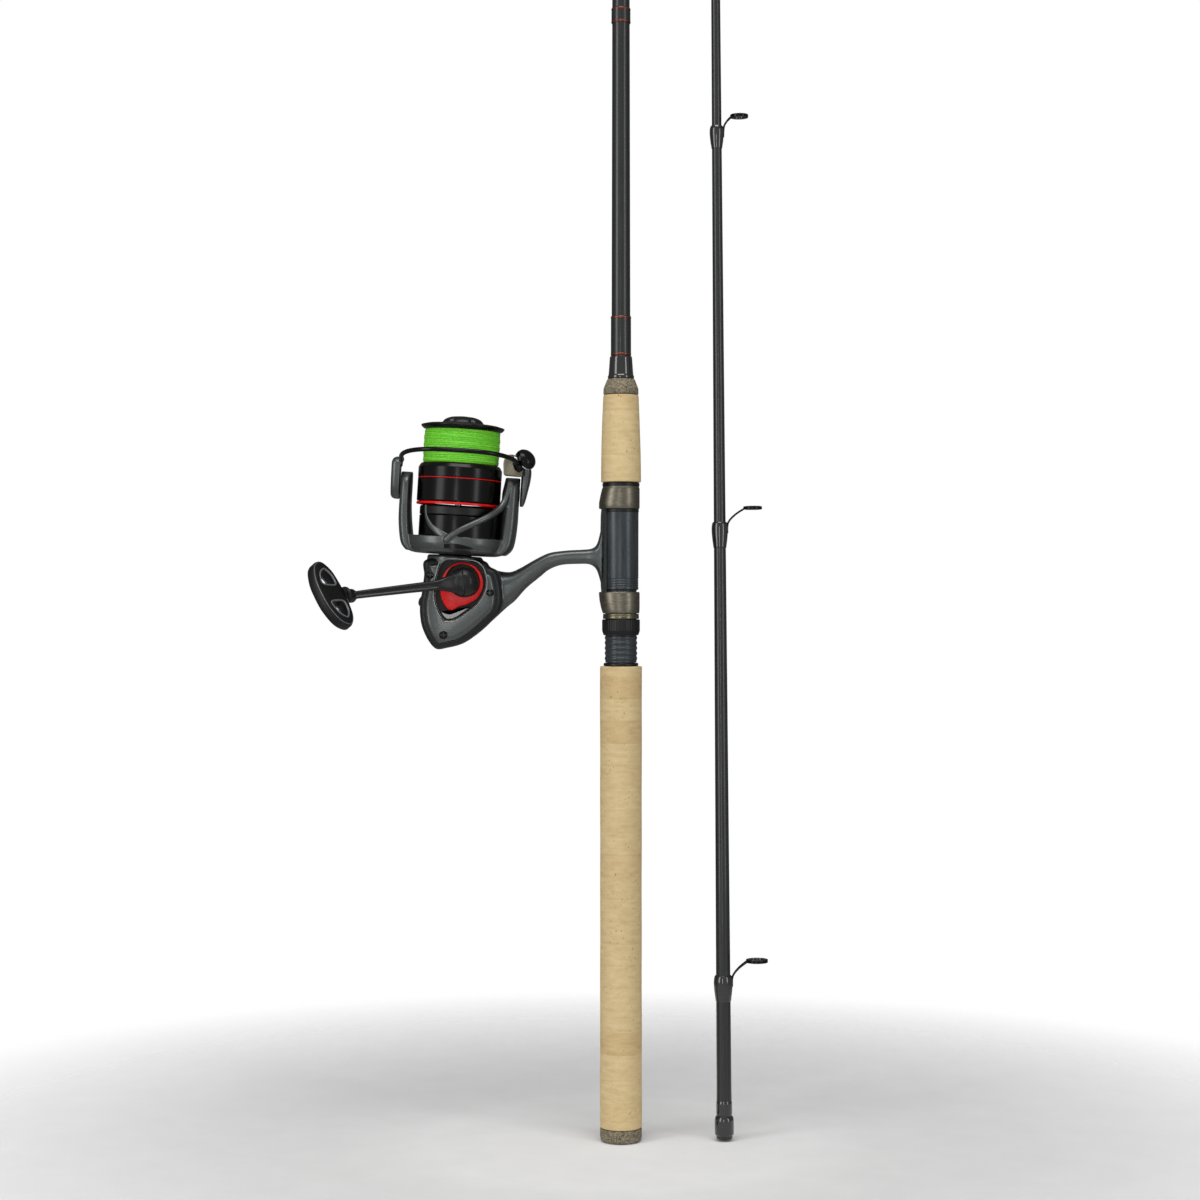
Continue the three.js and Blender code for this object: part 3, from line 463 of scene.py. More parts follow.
CORK_SLICE_MM = 13.7
CORK_SLICE = CORK_SLICE_MM * MM
CORK = cork_finish()
COMPOSITE = composite_finish()
LINE = line_finish()
BLACK = grained("satin_black", (8, 9, 10), (14, 15, 17), 700, 0.4, bump=0.02, specular=0.35)
GLOSS = grained("gloss_black", (2, 2, 3), (6, 6, 7), 160, 0.22, bump=0.004, spread=0.03, specular=0.22)
# Light grey for thin trim: the crank eye ring, and painted highlights along the knob's window edges and outer
# rim.
GREY_TRIM_AND_HIGHLIGHT = grained("grey_trim_and_highlight", (84, 86, 90), (122, 124, 128), 900, 0.34, metal=0.3)
EPOXY = grained("wrap_epoxy", (8, 9, 11), (20, 21, 24), 1800, 0.14, coat=0.9, stretch=(0.2, 0.2, 1),
    bump=0.05, spread=0.03)
RED = grained("gloss_red", (190, 8, 10), (222, 16, 16), 300, 0.28, bump=0.01, spread=0.04, specular=0.3)
HOOD = grained("brushed_hood", (98, 94, 84), (122, 116, 104), 1500, 0.36, metal=0.95,
    stretch=(0.15, 0.15, 1), bump=0.02)
NECK = grained("dark_gold", (96, 92, 76), (124, 119, 98), 1200, 0.3, metal=1.0, stretch=(0.2, 0.2, 1))
GUARD = grained("warm_guard", (104, 100, 86), (124, 120, 104), 1400, 0.36, metal=0.9, bump=0.01)
SEAT = grained("seat_tube", (44, 49, 52), (60, 66, 69), 420, 0.32, metal=0.35, stretch=(1, 1, 0.12),
    bump=0.02)
BLANK = grained("carbon_blank", (16, 17, 18), (30, 32, 32), 900, 0.34, metal=0.1, coat=0.3,
    stretch=(1, 1, 0.06), bump=0.01, spread=0.04)
COPPER = grained("copper_trim", (92, 38, 18), (138, 68, 38), 900, 0.3, metal=0.9, coat=0.4,
    stretch=(0.2, 0.2, 1))
REEL_METAL = grained("reel_metal", (78, 82, 82), (90, 93, 92), 1500, 0.34, metal=0.8, coat=0.12, bump=0.02,
    spread=0.03)
# Darker reel metal for the side cover's wall: painted shade along the cover's edge band.
REEL_EDGE_PAINTED_SHADE = grained("reel_edge_painted_shade", (34, 36, 37), (44, 46, 46), 1500, 0.4, metal=0.6, bump=0.01)
# Lighter reel metal for painted highlights: the light line round the recess rim and the lit crescent at the
# recess bottom.
REEL_PAINTED_HIGHLIGHT = grained("reel_painted_highlight", (112, 114, 112), (134, 136, 134), 1200, 0.34, metal=0.9, bump=0.01)
STEEL = grained("bright_steel", (168, 170, 174), (214, 216, 220), 900, 0.2, metal=1.0)
BRASS = grained("gear_brass", (166, 132, 66), (208, 176, 102), 700, 0.32, metal=1.0)
CERAMIC = grained("guide_ceramic", (22, 24, 28), (44, 47, 54), 300, 0.1, coat=0.8, bump=0.01, spread=0.03)
# Near-black for the recess floor: painted shade inside the recess.
SHADOW = grained("recess_painted_shade", (4, 4, 5), (9, 9, 10), 500, 0.7, bump=0.01)
CRANK = grained("crank_black", (6, 6, 7), (11, 11, 13), 500, 0.34, bump=0.01, spread=0.03, specular=0.4)
RUBBER = grained("soft_black", (9, 9, 10), (15, 15, 16), 900, 0.5, bump=0.03, specular=0.3)


# ---------- bookkeeping ----------
def dress(obj, body, slot, *nodes):
    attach(obj, body)
    if nodes:
        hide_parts(*nodes)
    return obj


def paint(node, finish):
    obj = frame["nodes"][node]
    obj.data.materials.clear()
    obj.data.materials.append(finish)


def low(node, axis=2):
    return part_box(node)[0][axis] / MM


def high(node, axis=2):
    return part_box(node)[1][axis] / MM


def ring_profile(inner, points, radius=0.4, steps=3):
    """Closed profile of a sleeve from its bore and its outer (r, z) points, listed upwards."""
    outer = rounded([(inner, points[0][1])] + list(points) + [(inner, points[-1][1])], radius, steps)
    return outer


# ---------- butt section: handle ----------
BORE = 6.5
cap_top = low("rear_grip") - 0.3
cap = [(0, 0), (11.6, 0), (12.5, 0.6), (12.95, 2.2), (12.95, cap_top), (4.8, cap_top), (4.8, 20), (0, 20)]
dress(lathe("butt_cap_turned", rounded(cap, 0.8, 5), COMPOSITE), "rod_butt", "composite_cork", "butt_cap")


def cork_wave(r, z, angle):
    if r < 8:
        return 0
    groove = abs((z / CORK_SLICE_MM) % 1 - 0.5) * 2
    return 0.05 * math.sin(angle * 5 + z * 0.11) - 0.09 * max(0, groove - 0.93) / 0.07


grip_low, grip_high = low("rear_grip"), high("rear_grip")
steps = 140
rear = [(13.0 - 0.12 * math.sin(math.pi * i / steps), grip_low + (grip_high - grip_low) * i / steps)
    for i in range(steps + 1)]
dress(lathe("rear_grip_cork", ring_profile(BORE, rear, 1.1, 5), CORK, segments=96, wave=cork_wave),
    "rod_butt", "cork", "rear_grip")

z0, z1 = low("rear_grip_ring"), high("rear_grip_ring")
dress(lathe("rear_grip_collar", ring_profile(BORE, [(10.9, z0), (10.6, z1)]), BLACK), "rod_butt",
    "black_plastic", "rear_grip_ring")

fore_low, fore_high = low("foregrip"), high("foregrip")


def fore_radius(z):
    t = (z - fore_low) / (fore_high - fore_low)
    return 12.4 - 1.5 * t ** 1.8


fore = [(fore_radius(fore_low + (fore_high - fore_low) * i / 40),
    fore_low + (fore_high - fore_low) * i / 40) for i in range(41)]
dress(lathe("foregrip_cork", ring_profile(BORE, fore, 0.6), CORK, segments=96, wave=cork_wave), "rod_butt",
    "cork", "foregrip")
z0, z1 = low("foregrip_ring"), high("foregrip_ring")
dress(lathe("foregrip_composite", ring_profile(BORE, [(10.9, z0), (10.85, z0 + 3.6), (8.5, z1)], 0.7),
    COMPOSITE), "rod_butt", "composite_cork", "foregrip_ring")
z0, z1 = low("winding_check"), high("winding_check")
check = [(8.2, z0), (8.15, z0 + 1.6), (7.7, z0 + 2.2), (7.4, z0 + 6), (6.95, z1 - 1), (6.7, z1)]
dress(lathe("winding_check_wrap", ring_profile(BORE, check, 0.4), EPOXY), "rod_butt", "gloss_black",
    "winding_check")

# ---------- butt section: reel seat ----------
seat_low, seat_high = low("reel_seat_tube"), high("reel_seat_tube")
hood_top = high("sliding_hood")
fixed_low = low("fixed_hood")
PITCH = 3.2
seat = [(9.7, seat_low)]
z = seat_low + 1
while z < hood_top - 8:
    seat += [(9.65, z), (9.75, z + 0.5), (10.1, z + 1.1), (10.1, z + 1.9), (9.75, z + 2.5), (9.65, z + 3.0)]
    z += PITCH
seat += [(9.7, hood_top + 1), (10.85, hood_top + 1.6)]
for k in range(4):
    level = hood_top + 3 + k * 1.5
    seat += [(10.85, level), (10.6, level + 0.25), (10.6, level + 0.55), (10.85, level + 0.8)]
seat += [(10.9, fixed_low - 1), (9.7, fixed_low - 0.5), (9.7, seat_high)]
dress(lathe("reel_seat_barrel", ring_profile(6.6, seat, 0.15, 2), SEAT), "rod_butt", "seat", "reel_seat_tube")


def knurl(r, z, angle):
    if r < 11.3:
        return 0
    return -0.16 * max(0.0, math.cos(angle * 36)) ** 2


z0, z1 = low("lock_nut"), high("lock_nut")
nut = [(10.7, z0), (10.95, z0 + 0.4), (11.7, z0 + 2.6), (11.75, z0 + 3.2), (11.75, z1 - 0.7), (11.5, z1)]
dress(lathe("lock_nut_knurled", ring_profile(10.5, nut, 0.3), BLACK, segments=192, wave=knurl), "nut",
    "black_plastic", "lock_nut")
z0, z1 = low("hood_neck_ring"), high("hood_neck_ring")
neck = [(11.05, z0), (11.2, z0 + 0.5), (11.2, z1 - 1.4), (10.95, z1 - 1.2), (11.2, z1 - 0.9), (11.1, z1)]
dress(lathe("hood_neck_band", ring_profile(10.5, neck, 0.25), NECK), "hood", "neck_metal", "hood_neck_ring")


def hood_shape(name, loops, bore, pocket, finish):
    """Shell round the seat with a bulge on the reel's side, bored through and pocketed for the foot."""
    body = loft(name, loops, finish, ROW)
    z_low, z_high = loops[0][0][2], loops[-1][0][2]
    drill = lathe("drill", [(0, z_low - 2), (bore, z_low - 2), (bore, z_high + 2), (0, z_high + 2)], finish,
        segments=64)
    wedge = saddle_mesh("wedge", 8, 12.5, pocket[0], pocket[1], 42, finish)
    return cut(body, drill, wedge)


def saddle_mesh(name, inner, outer, z0, z1, half_angle, finish):
    outline = [(outer, a) for a in range(-half_angle, half_angle + 1, 3)] + [(inner, a)
        for a in range(half_angle, -half_angle - 1, -3)]
    loops = []
    for z in (z0, z1):
        loops.append([(-r * math.cos(math.radians(a)), r * math.sin(math.radians(a)), z) for r, a in outline])
    return loft(name, loops, finish, ROW)


def bulged_loop(radius, bulge, z, count=72):
    loop = []
    for j in range(count):
        angle = 2 * math.pi * j / count
        lobe = max(0.0, -math.cos(angle)) ** 1.6
        loop.append(((radius + bulge * lobe) * math.cos(angle),
            (radius + bulge * lobe * 0.9) * math.sin(angle), z))
    return loop


z0, z1 = low("sliding_hood"), high("sliding_hood")
rows = [(11.1, 0, z0), (11.35, 0.0, z0 + 0.3), (11.5, 0.2, z0 + 1.2), (11.6, 0.9, z0 + 4),
    (11.6, 1.7, z0 + 8), (11.6, 2.1, z1 - 1.2), (11.5, 2.1, z1 - 0.4), (11.25, 2.0, z1)]
hood = hood_shape("sliding_hood_shell", [bulged_loop(*row) for row in rows], 10.5, (334 - 0.8, z1 + 2), HOOD)
dress(hood, "hood", "hood_metal", "sliding_hood")
z0, z1 = low("fixed_hood"), high("fixed_hood")
rows = [(11.3, 2.0, z0), (11.55, 2.1, z0 + 0.5), (11.6, 2.0, z0 + 4), (11.6, 1.2, z0 + 8),
    (11.6, 0.3, z0 + 12), (11.5, 0, z1 - 3.2), (11.25, 0, z1 - 2.8), (11.2, 0, z1 - 0.3), (11.0, 0, z1)]
fixed = hood_shape("fixed_hood_shell", [bulged_loop(*row) for row in rows], 10.0, (z0 - 2, 397.6), HOOD)
dress(fixed, "rod_butt", "hood_metal", "fixed_hood")
dress(lathe("seat_top_trim", ring_profile(10.2, [(11.5, z1 - 2.3), (11.5, z1 - 0.2)], 0.3), BLACK),
    "rod_butt", "black_plastic")
dress(lathe("seat_step_trim", ring_profile(9.75, [(11.1, fixed_low - 2.2), (11.1, fixed_low - 0.2)], 0.3),
    BLACK), "rod_butt", "black_plastic")

# ---------- butt section: blank and trims ----------
blank_top = high("butt_blank")


def butt_radius(z):
    return 6.2 - 2.15 * max(0.0, z - 300) / (blank_top - 300)


wrap_top = blank_top - 57
blank = [(5.1, low("butt_blank")), (6.2, low("butt_blank")), (6.2, 300)]
blank += [(butt_radius(z), z) for z in range(340, 1320, 40)]
blank += [(butt_radius(wrap_top), wrap_top), (3.55, wrap_top + 2), (3.3, blank_top - 0.4), (3.1, blank_top),
    (2.4, blank_top), (2.9, 1340), (5.1, 300)]
dress(lathe("butt_blank_tube", rounded(blank, 0.3, 2, closed=True), BLANK), "rod_butt", "carbon",
    "butt_blank")
wrap = [(butt_radius(wrap_top) + 0.1, wrap_top - 16), (butt_radius(wrap_top) + 0.75, wrap_top - 14),
    (butt_radius(wrap_top) + 0.75, wrap_top - 2), (butt_radius(wrap_top), wrap_top - 0.2)]
dress(lathe("spigot_wrap", ring_profile(3.7, wrap, 0.5), EPOXY), "rod_butt", "gloss_black")


def trim_pair(name, node, build=0.45, edge=1.3):
    """A gloss band over the blank with a copper thread edge at each end."""
    z0, z1 = low(node), high(node)
    r0, r1 = butt_radius(z0), butt_radius(z1)
    band = [(r0 + 0.3, z0), (r0 + build, z0 + 0.8), (r1 + build, z1 - 0.8), (r1 + 0.3, z1)]
    dress(lathe(name + "_coat", ring_profile(r0 + 0.05, band, 0.4), BLANK), "rod_butt", "copper_trim", node)
    for k, z in enumerate((z0 + 0.3, z1 - 0.3 - edge)):
        r = butt_radius(z)
        ring = [(r + 0.35, z), (r + build + 0.12, z + 0.3), (r + build + 0.12, z + edge - 0.3),
            (r + 0.35, z + edge)]
        dress(lathe(f"{name}_edge_{k + 1}", ring_profile(r + 0.1, ring, 0.3), COPPER), "rod_butt",
            "copper_trim")


trim_pair("label_zone", "label_band")
trim_pair("stripper_trim", "stripper_trim_band")


# ---------- line guides ----------
def guide(name, body, place, z, outer, reach, blank, wrap_length, nodes, mirror=1):
    """Ring frame on one foot, its thread wrap and its ceramic insert."""
    big = outer > 8
    band = 1.3 if big else 0.8
    height = 2.6 if big else 2.0
    wrap_top = z - reach * 0.42
    wrap_low = wrap_top - wrap_length
    turn = place @ Matrix.Rotation(math.pi if mirror < 0 else 0, 4, "Z")
    inner = blank + 0.3
    rows = [(0.0, 0.0), (0.12, 0.22), (0.3, 0.62), (0.5, 0.92), (0.68, 1.1), (0.84, 1.0), (0.94, 0.7),
        (1.0, 0.25)]
    wrap = [(inner + build, wrap_low + (wrap_top - wrap_low) * share) for share, build in rows]
    dress(lathe(name + "_wrap", ring_profile(inner - 0.15, wrap, 1.0), EPOXY, turn, 48), body, "guide_black")
    start = inner + 1.6
    end = reach - outer + band / 2
    thick = 1.2 if big else 0.85
    for k, side in enumerate((-1, 1)):
        spread = outer * 0.34
        path = spline([(inner + 0.7, side * 0.2, wrap_top - 7), (start - 0.4, side * 0.3, wrap_top - 0.6),
            (start + (end - start) * 0.4, side * spread * 0.45, wrap_top + (z - wrap_top) * 0.5),
                       (end + 0.4, side * spread, z - 0.3),
                           (reach - outer * 0.72 + band / 2, side * outer * 0.66, z)], 8)
        dress(tube(f"{name}_leg_{k + 1}", path, thick * 0.72, GLOSS, turn, 10), body, "guide_black")
    hoop_profile = rounded([(outer - band, -height / 2), (outer, -height / 2), (outer, height / 2),
        (outer - band, height / 2)], 0.35, 3, closed=True)
    shift = turn @ Matrix.Translation(Vector((reach, 0, z)) * MM)
    hoop = dress(lathe(name + "_hoop", hoop_profile, GLOSS, shift, 48), body, "guide_black", nodes[0])
    insert = outer - band - 0.25
    wall = 2.0 if big else 1.0
    bead = [(insert - wall * 0.5 + wall * 0.5 * math.cos(a), height * 0.58 * math.sin(a))
        for a in (2 * math.pi * i / 12 for i in range(12))]
    seat_ring = lathe(name + "_insert", bead, CERAMIC, shift, 48)
    dress(seat_ring, body, "ceramic", *nodes[1:])
    return hoop


guide("butt_guide_1", "rod_butt", ROW, 765, 15, 31, butt_radius(734), 32,
    ("butt_guide_1_frame", "butt_guide_1_ring"), -1)
guide("butt_guide_2", "rod_butt", ROW, 1125, 10, 25, butt_radius(1100), 24,
    ("butt_guide_2_frame", "butt_guide_2_ring"), -1)

TIP_LENGTH = 1390


def tip_radius(z):
    return 4.7 - 3.75 * z / TIP_LENGTH


tip = [(3.7, 0), (4.8, 0), (5.0, 0.6), (5.0, 1.2),
    (tip_radius(30), 30)] + [(tip_radius(z), z) for z in range(60, 1381, 40)]
tip += [(0.95, TIP_LENGTH), (0, TIP_LENGTH), (0, 900), (tip_radius(700) - 0.9, 700), (3.45, 60), (3.7, 0)]
tip_profile = rounded(tip[:-1], 0.25, 2)
loops = [[(r * math.cos(2 * math.pi * j / 48), r * math.sin(2 * math.pi * j / 48), z) for j in range(48)]
    for r, z in tip_profile + [tip_profile[0]]]
verts, faces = strip(loops, caps=False)
dress(mesh("tip_blank_tube", verts, faces, BLANK, TIP), "tip_section", "carbon", "tip_blank")
band = [(5.15, 2), (5.9, 2.6), (6.0, 4), (6.0, 11.5), (5.7, 13), (5.15, 14)]
dress(lathe("ferrule_wrap", ring_profile(5.0, band, 0.5), EPOXY, TIP), "tip_section", "gloss_black",
    "ferrule_band")
tip_wrap = [(tip_radius(20) + 0.05, 14.6), (tip_radius(20) + 0.35, 15.4), (tip_radius(24) + 0.35, 22),
    (tip_radius(26), 24)]
dress(lathe("ferrule_wrap_tail", ring_profile(4.4, tip_wrap, 0.4), EPOXY, TIP), "tip_section", "gloss_black")

TIP_GUIDES = [(110, 6.8, 21, 16), (391, 5.8, 20.5, 16), (634, 5.6, 14, 14), (872, 5.2, 12, 12),
    (1062, 4.9, 10.5, 11), (1222, 4.6, 9, 10)]
for i, (z, outer, reach, wrap_length) in enumerate(TIP_GUIDES):
    number = i + 1
    nodes = (f"tip_guide_{number}_frame", f"tip_guide_{number}_ring") if number < 6 else ("tip_guide_6",)
    guide(f"tip_guide_{number}", "tip_section", TIP, z, outer, reach, tip_radius(z - reach), wrap_length,
        nodes)

top = TIP_LENGTH
dress(lathe("tip_top_tube", ring_profile(1.2, [(1.7, top - 14), (1.9, top - 13.4), (1.9, top + 0.6),
    (1.4, top + 1.5)], 0.4), GLOSS, TIP, 32), "tip_section", "guide_black", "tip_top")
tilted = TIP @ Matrix.Translation(Vector((4.8, 0, top + 6)) * MM) @ Matrix.Rotation(-0.6, 4, "Y")
dress(lathe("tip_top_hoop", rounded([(3.2, -1), (4.2, -1), (4.2, 1), (3.2, 1)], 0.3, 3, closed=True), GLOSS,
    tilted, 40), "tip_section", "guide_black")
bead = [(2.75 + 0.5 * math.cos(a), 1.0 * math.sin(a)) for a in (2 * math.pi * i / 10 for i in range(10))]
dress(lathe("tip_top_insert", bead, CERAMIC, tilted, 40), "tip_section", "ceramic")
for side in (-1, 1):
    path = spline([(0.3 * side, 0.5 * side, top - 1), (0.9, 1.4 * side, top + 2.4),
        (2.6, 2.7 * side, top + 4.2)], 6)
    dress(tube(f"tip_top_strut_{'a' if side < 0 else 'b'}", path, 0.6, GLOSS, TIP, 8), "tip_section",
        "guide_black")

# ---------- reel: places inside its frame ----------
def frontward(x, s):
    """Lathe axis points at the crank side from (x, s)."""
    return REEL @ Matrix.Translation(Vector((x, 0, s)) * MM) @ axes_matrix((1, 0, 0), (0, 0, 1), (0, -1, 0),
        (0, 0, 0))


def sideways(y, s):
    """Lathe axis points along +x from (y, s)."""
    return REEL @ Matrix.Translation(Vector((0, y, s)) * MM) @ axes_matrix((0, 1, 0), (0, 0, 1), (1, 0, 0),
        (0, 0, 0))


HANDLE_X, HANDLE_S = 8, 1
# Outlines drawn in (y, s) and stacked along -x.
SIDE = REEL @ axes_matrix((0, 1, 0), (-1, 0, 0), (0, 0, 1), (0, 0, 0))


def loop2(points, count=8):
    return spline([(*p, 0) for p in points], count, closed=True)


def plan(points, count=8):
    return [Vector((p.x, p.y)) for p in loop2(points, count)]


# ---------- reel: cast body, stem and foot ----------
gearbox = plan([(-17.4, 13.4), (-17.7, 3.9), (-18.4, -6.7), (-19.2, -12.4), (-18.7, -20.6), (-16.8, -28.4),
    (-12.4, -36.4), (-7.4, -41.0), (-1.4, -40.1), (8.3, -36.8),
                (17.5, -29.8), (24.8, -22.3), (30.4, -15), (31.2, -4.5), (27.6, 8.2), (22, 11.7),
                    (17.6, 15.2), (0, 16)])
box_part = slab("box_part", gearbox, [(-8.7, 0.4), (-8.2, 0), (4, 0), (10, 0.6), (14, 2.2), (17, 4.8),
    (19, 8), (20, 11.5)], REEL_METAL)
neck_part = lathe("neck_part", [(0, 2), (16.6, 2), (17.2, 9), (17.2, 16.2), (16.4, 17.2), (9.6, 17.2),
    (9.6, 23.6), (0, 23.6)], REEL_METAL, REEL, 96)
upper = [(18.6, 12.7), (24, 10.4), (29, 9.3), (35.1, 9.3), (41, 12.2), (47.7, 16.6), (53.6, 20.2),
    (59.5, 22.9), (69.9, 24.8), (79, 25.8), (84.5, 26.9), (87.4, 30), (89.1, 38.3), (90, 45.3)]
lower = [(10, -33), (17.5, -28.8), (24.8, -22.3), (33.8, -13), (38.8, -8.4), (45.3, -0.2), (53.5, 7.4),
    (58.5, 12), (66.1, 15.5), (77, 16.8), (83.6, 16.9), (87.8, 14.2), (90.6, 7.5), (92.2, 2)]
half_depth = [12.4, 11.8, 10.8, 9.6, 8.4, 7.4, 6.7, 6.3, 6.1, 6.1, 6.3, 6.8, 7.2, 7.2]
depth_centre = [4.6, 3.8, 2.8, 1.7, 0.8, 0.2, 0, 0, 0, 0, 0, 0, 0, 0]
upper_s, lower_s = spline([(*p, 0) for p in upper], 4), spline([(*p, 0) for p in lower], 4)
wide_s = spline([(w, c, 0) for w, c in zip(half_depth, depth_centre)], 4)
stations = []
for a, b, w in zip(upper_s, lower_s, wide_s):
    top_point, low_point = Vector((a.x, w.y, a.y)), Vector((b.x, w.y, b.y))
    span = top_point - low_point
    stations.append(superloop((top_point + low_point) / 2, span.length / 2, w.x, span.normalized(),
        (0, 1, 0), 2.7, 36))
stem_part = loft("stem_part", stations, REEL_METAL)


def foot_loop(z, grow, count=20):
    """Arc-shaped section of the foot against the seat tube; grow 0..1 thins it towards its ends."""
    half = 38
    outer = [(11.35 + 1.25 * grow, a) for a in (half - 2 * half * i / count for i in range(count + 1))]
    inner = [(11.2, a) for a in (-half + 2 * half * i / count for i in range(count + 1))]
    return [(-r * math.cos(math.radians(a)), r * math.sin(math.radians(a)), z) for r, a in outer + inner]


FOOT_LOW, FOOT_HIGH = 334, 397
foot_rows = [(FOOT_LOW, 0.25), (FOOT_LOW + 4, 0.6), (FOOT_LOW + 10, 1), (366, 1.3), (FOOT_HIGH - 10, 1),
    (FOOT_HIGH - 4, 0.6), (FOOT_HIGH, 0.25)]
foot_part = loft("foot_part", [foot_loop(z, grow) for z, grow in foot_rows], REEL_METAL, ROW)
body = fuse("reel_casting", [box_part, neck_part, stem_part], 0.55, 7, REEL_METAL)
tube_space = lathe("tube_space", [(0, 300), (11.25, 300), (11.25, 430), (0, 430)], REEL_METAL, ROW, 96)
cut(body, tube_space)
dress(body, "rod_butt", "reel_metal", "reel_body")
dress(foot_part, "rod_butt", "reel_metal")

# ---------- reel: side cover with its recess, shield and screws ----------
wall_rows = [(-9.0, 0.4), (-9.4, 0.05), (-11.6, 0.1), (-13.2, 0.8), (-14.2, 1.9), (-14.7, 3.0),
    (-14.7, 3.6), (-14.2, 3.9)]
face_rows = [(-13.6, 3.6), (-16.6, 3.9), (-18.2, 4.4), (-19.1, 5.4), (-19.5, 7.0)]
# The cover's side wall takes the darker metal: painted shade round the cover's edge.
wall = slab("side_cover_wall", gearbox, wall_rows, REEL_EDGE_PAINTED_SHADE, sharp=24)
cover = slab("side_cover_face", gearbox, face_rows, REEL_METAL, sharp=24)
recess = plan([(-6.6, 13.6), (-10, 4), (-10.7, -5), (-9.6, -13), (-4.8, -22.4), (-0.8, -23.7), (4.2, -22.5),
    (11, -17.6), (17.4, -11.3), (21.4, -2), (20.6, 7), (15.6, 13.6), (5, 15)])
for piece in (wall, cover):
    bay = slab("bay", recess, [(-22, 0), (-17.1, 0.7)], REEL_METAL)
    neck_room = lathe("neck_room", [(0, 7.7), (17.55, 7.7), (17.55, 26), (0, 26)], REEL_METAL, REEL, 96)
    cut(piece, bay, neck_room)
dress(cover, "rod_butt", "reel_metal", "side_cover")
dress(wall, "rod_butt", "reel_metal")
# The recess floor is a near-black sheet of painted shade.
dress(slab("recess_floor", recess, [(-17.0, 0.9), (-17.35, 0.9)], SHADOW), "rod_butt", "reel_metal")
# The rim tube takes the lighter metal as a painted highlight line round the recess.
rim = [Vector((p.x, -19.25, p.y)) for p in recess]
dress(tube("recess_rim", rim, 0.5, REEL_PAINTED_HIGHLIGHT, REEL, 10, closed=True, up=(0, 1, 0)), "rod_butt", "reel_metal")
shield_outer = plan([(-5.9, -9), (-6.4, -3), (-5.4, 4.6), (-0.6, 10.8), (6.5, 13), (13.6, 11), (18.2, 5.4),
    (19.2, -1.6), (16.4, -8), (10.4, -12.2), (5, -14.2), (1.2, -16.6), (-2.2, -15.2)])
shield_inner = plan([(-4.4, 1), (-2.6, 7.4), (0.6, 10.6), (6.4, 12.2), (12.9, 10.1), (16.7, 4.6),
    (17.1, -1.6), (13.9, -6.4), (8, -7.8), (3, -6), (-2, -3.4)])
shield = slab("red_shield", shield_outer, [(-17.45, 0.3), (-17.7, 0), (-18.7, 0.1), (-19.1, 0.5),
    (-19.25, 1)], RED)
cut(shield, slab("shield_hole", shield_inner, [(-22, -0.5), (-17, 0.3)], RED))
dress(shield, "rod_butt", "red_gloss", "hub_shield")
# The crescent at the foot of the recess is a painted highlight in lighter metal.
crescent = plan([(-5.6, -17.6), (-3.4, -21), (-0.8, -22.2), (3.6, -21), (8.6, -17.2), (12.4, -13.8),
    (9.6, -14.4), (5.2, -16.6), (1, -18.6), (-2.4, -18.6)])
dress(slab("recess_crescent", crescent, [(-17.3, 0), (-18.0, 0.1), (-18.3, 0.4)], REEL_PAINTED_HIGHLIGHT), "rod_butt",
    "reel_metal")


def screw(name, x, s, y, nodes=()):
    """Pan-head screw with a cross recess, seen from the crank side."""
    head = lathe(name, rounded([(0, -y), (2.6, -y), (2.55, 1.0 - y), (1.7, 1.6 - y), (0, 1.75 - y)], 0.3),
        GLOSS, frontward(x, s), 32)
    arm = [(-1.5, -0.3), (1.5, -0.3), (1.5, 0.3), (-1.5, 0.3)]
    for k in range(2):
        turned = [(u * (1 - k) + v * k, v * (1 - k) + u * k) for u, v in arm]
        loops = [[(u, v, z) for u, v in turned] for z in (0.8 - y, 3 - y)]
        cut(head, loft("slot", loops, GLOSS, frontward(x, s)))
    return dress(head, "rod_butt", "gloss_black", *nodes)


screw("cover_screw_low", -3, -32, -19.5, ("cover_screw",))
screw("cover_screw_right", 23.8, -4.4, -18.3)
screw("cover_screw_left", -13.3, 4.2, -18.1)
cap = [(0, -25), (4.6, -25), (6.2, -24.6), (7, -23.2), (7, -20.3), (0, -20.3)]
dress(lathe("crank_side_cap", rounded(cap, 0.6), GLOSS, frontward(HANDLE_X, HANDLE_S), 64), "rod_butt",
    "gloss_black", "opposite_side_cap")
lever = plan([(-21.6, -15.4), (-22.6, -12.4), (-20.8, -9.4), (-16, -10), (-16, -15)])
dress(slab("reverse_lever_cap", lever, [(20.3, 0.3), (20.6, 0), (22.2, 0.1), (22.6, 0.6)], BLACK),
    "reverse_lever", "black_plastic", "anti_reverse_lever")

# ---------- reel: rotor ----------
HINGE_S = 57
bowl = [(10.2, 17.8), (24.6, 17.8), (28.2, 18.5), (30.4, 20.6), (31.5, 24), (31.8, 28.4), (3.7, 28.4),
    (3.7, 24.4), (10.2, 24.4)]
parts = [lathe("bowl_part", rounded(bowl, 0.8, 4, closed=True), REEL_METAL, REEL, 96, stretch=(1, 0.9))]


def arm_part(rows):
    """Rotor arm from rows of (s, inner x, outer x, half depth)."""
    loops = []
    for row in spline(rows_to_vectors(rows), 4):
        s, inner, outer, depth = row
        loops.append(superloop(((inner + outer) / 2, 0, s), abs(outer - inner) / 2, depth, (1, 0, 0),
            (0, 1, 0), 2.8, 32))
    return loft("arm_part", loops, REEL_METAL)


def rows_to_vectors(rows):
    return [Vector(row) for row in rows]


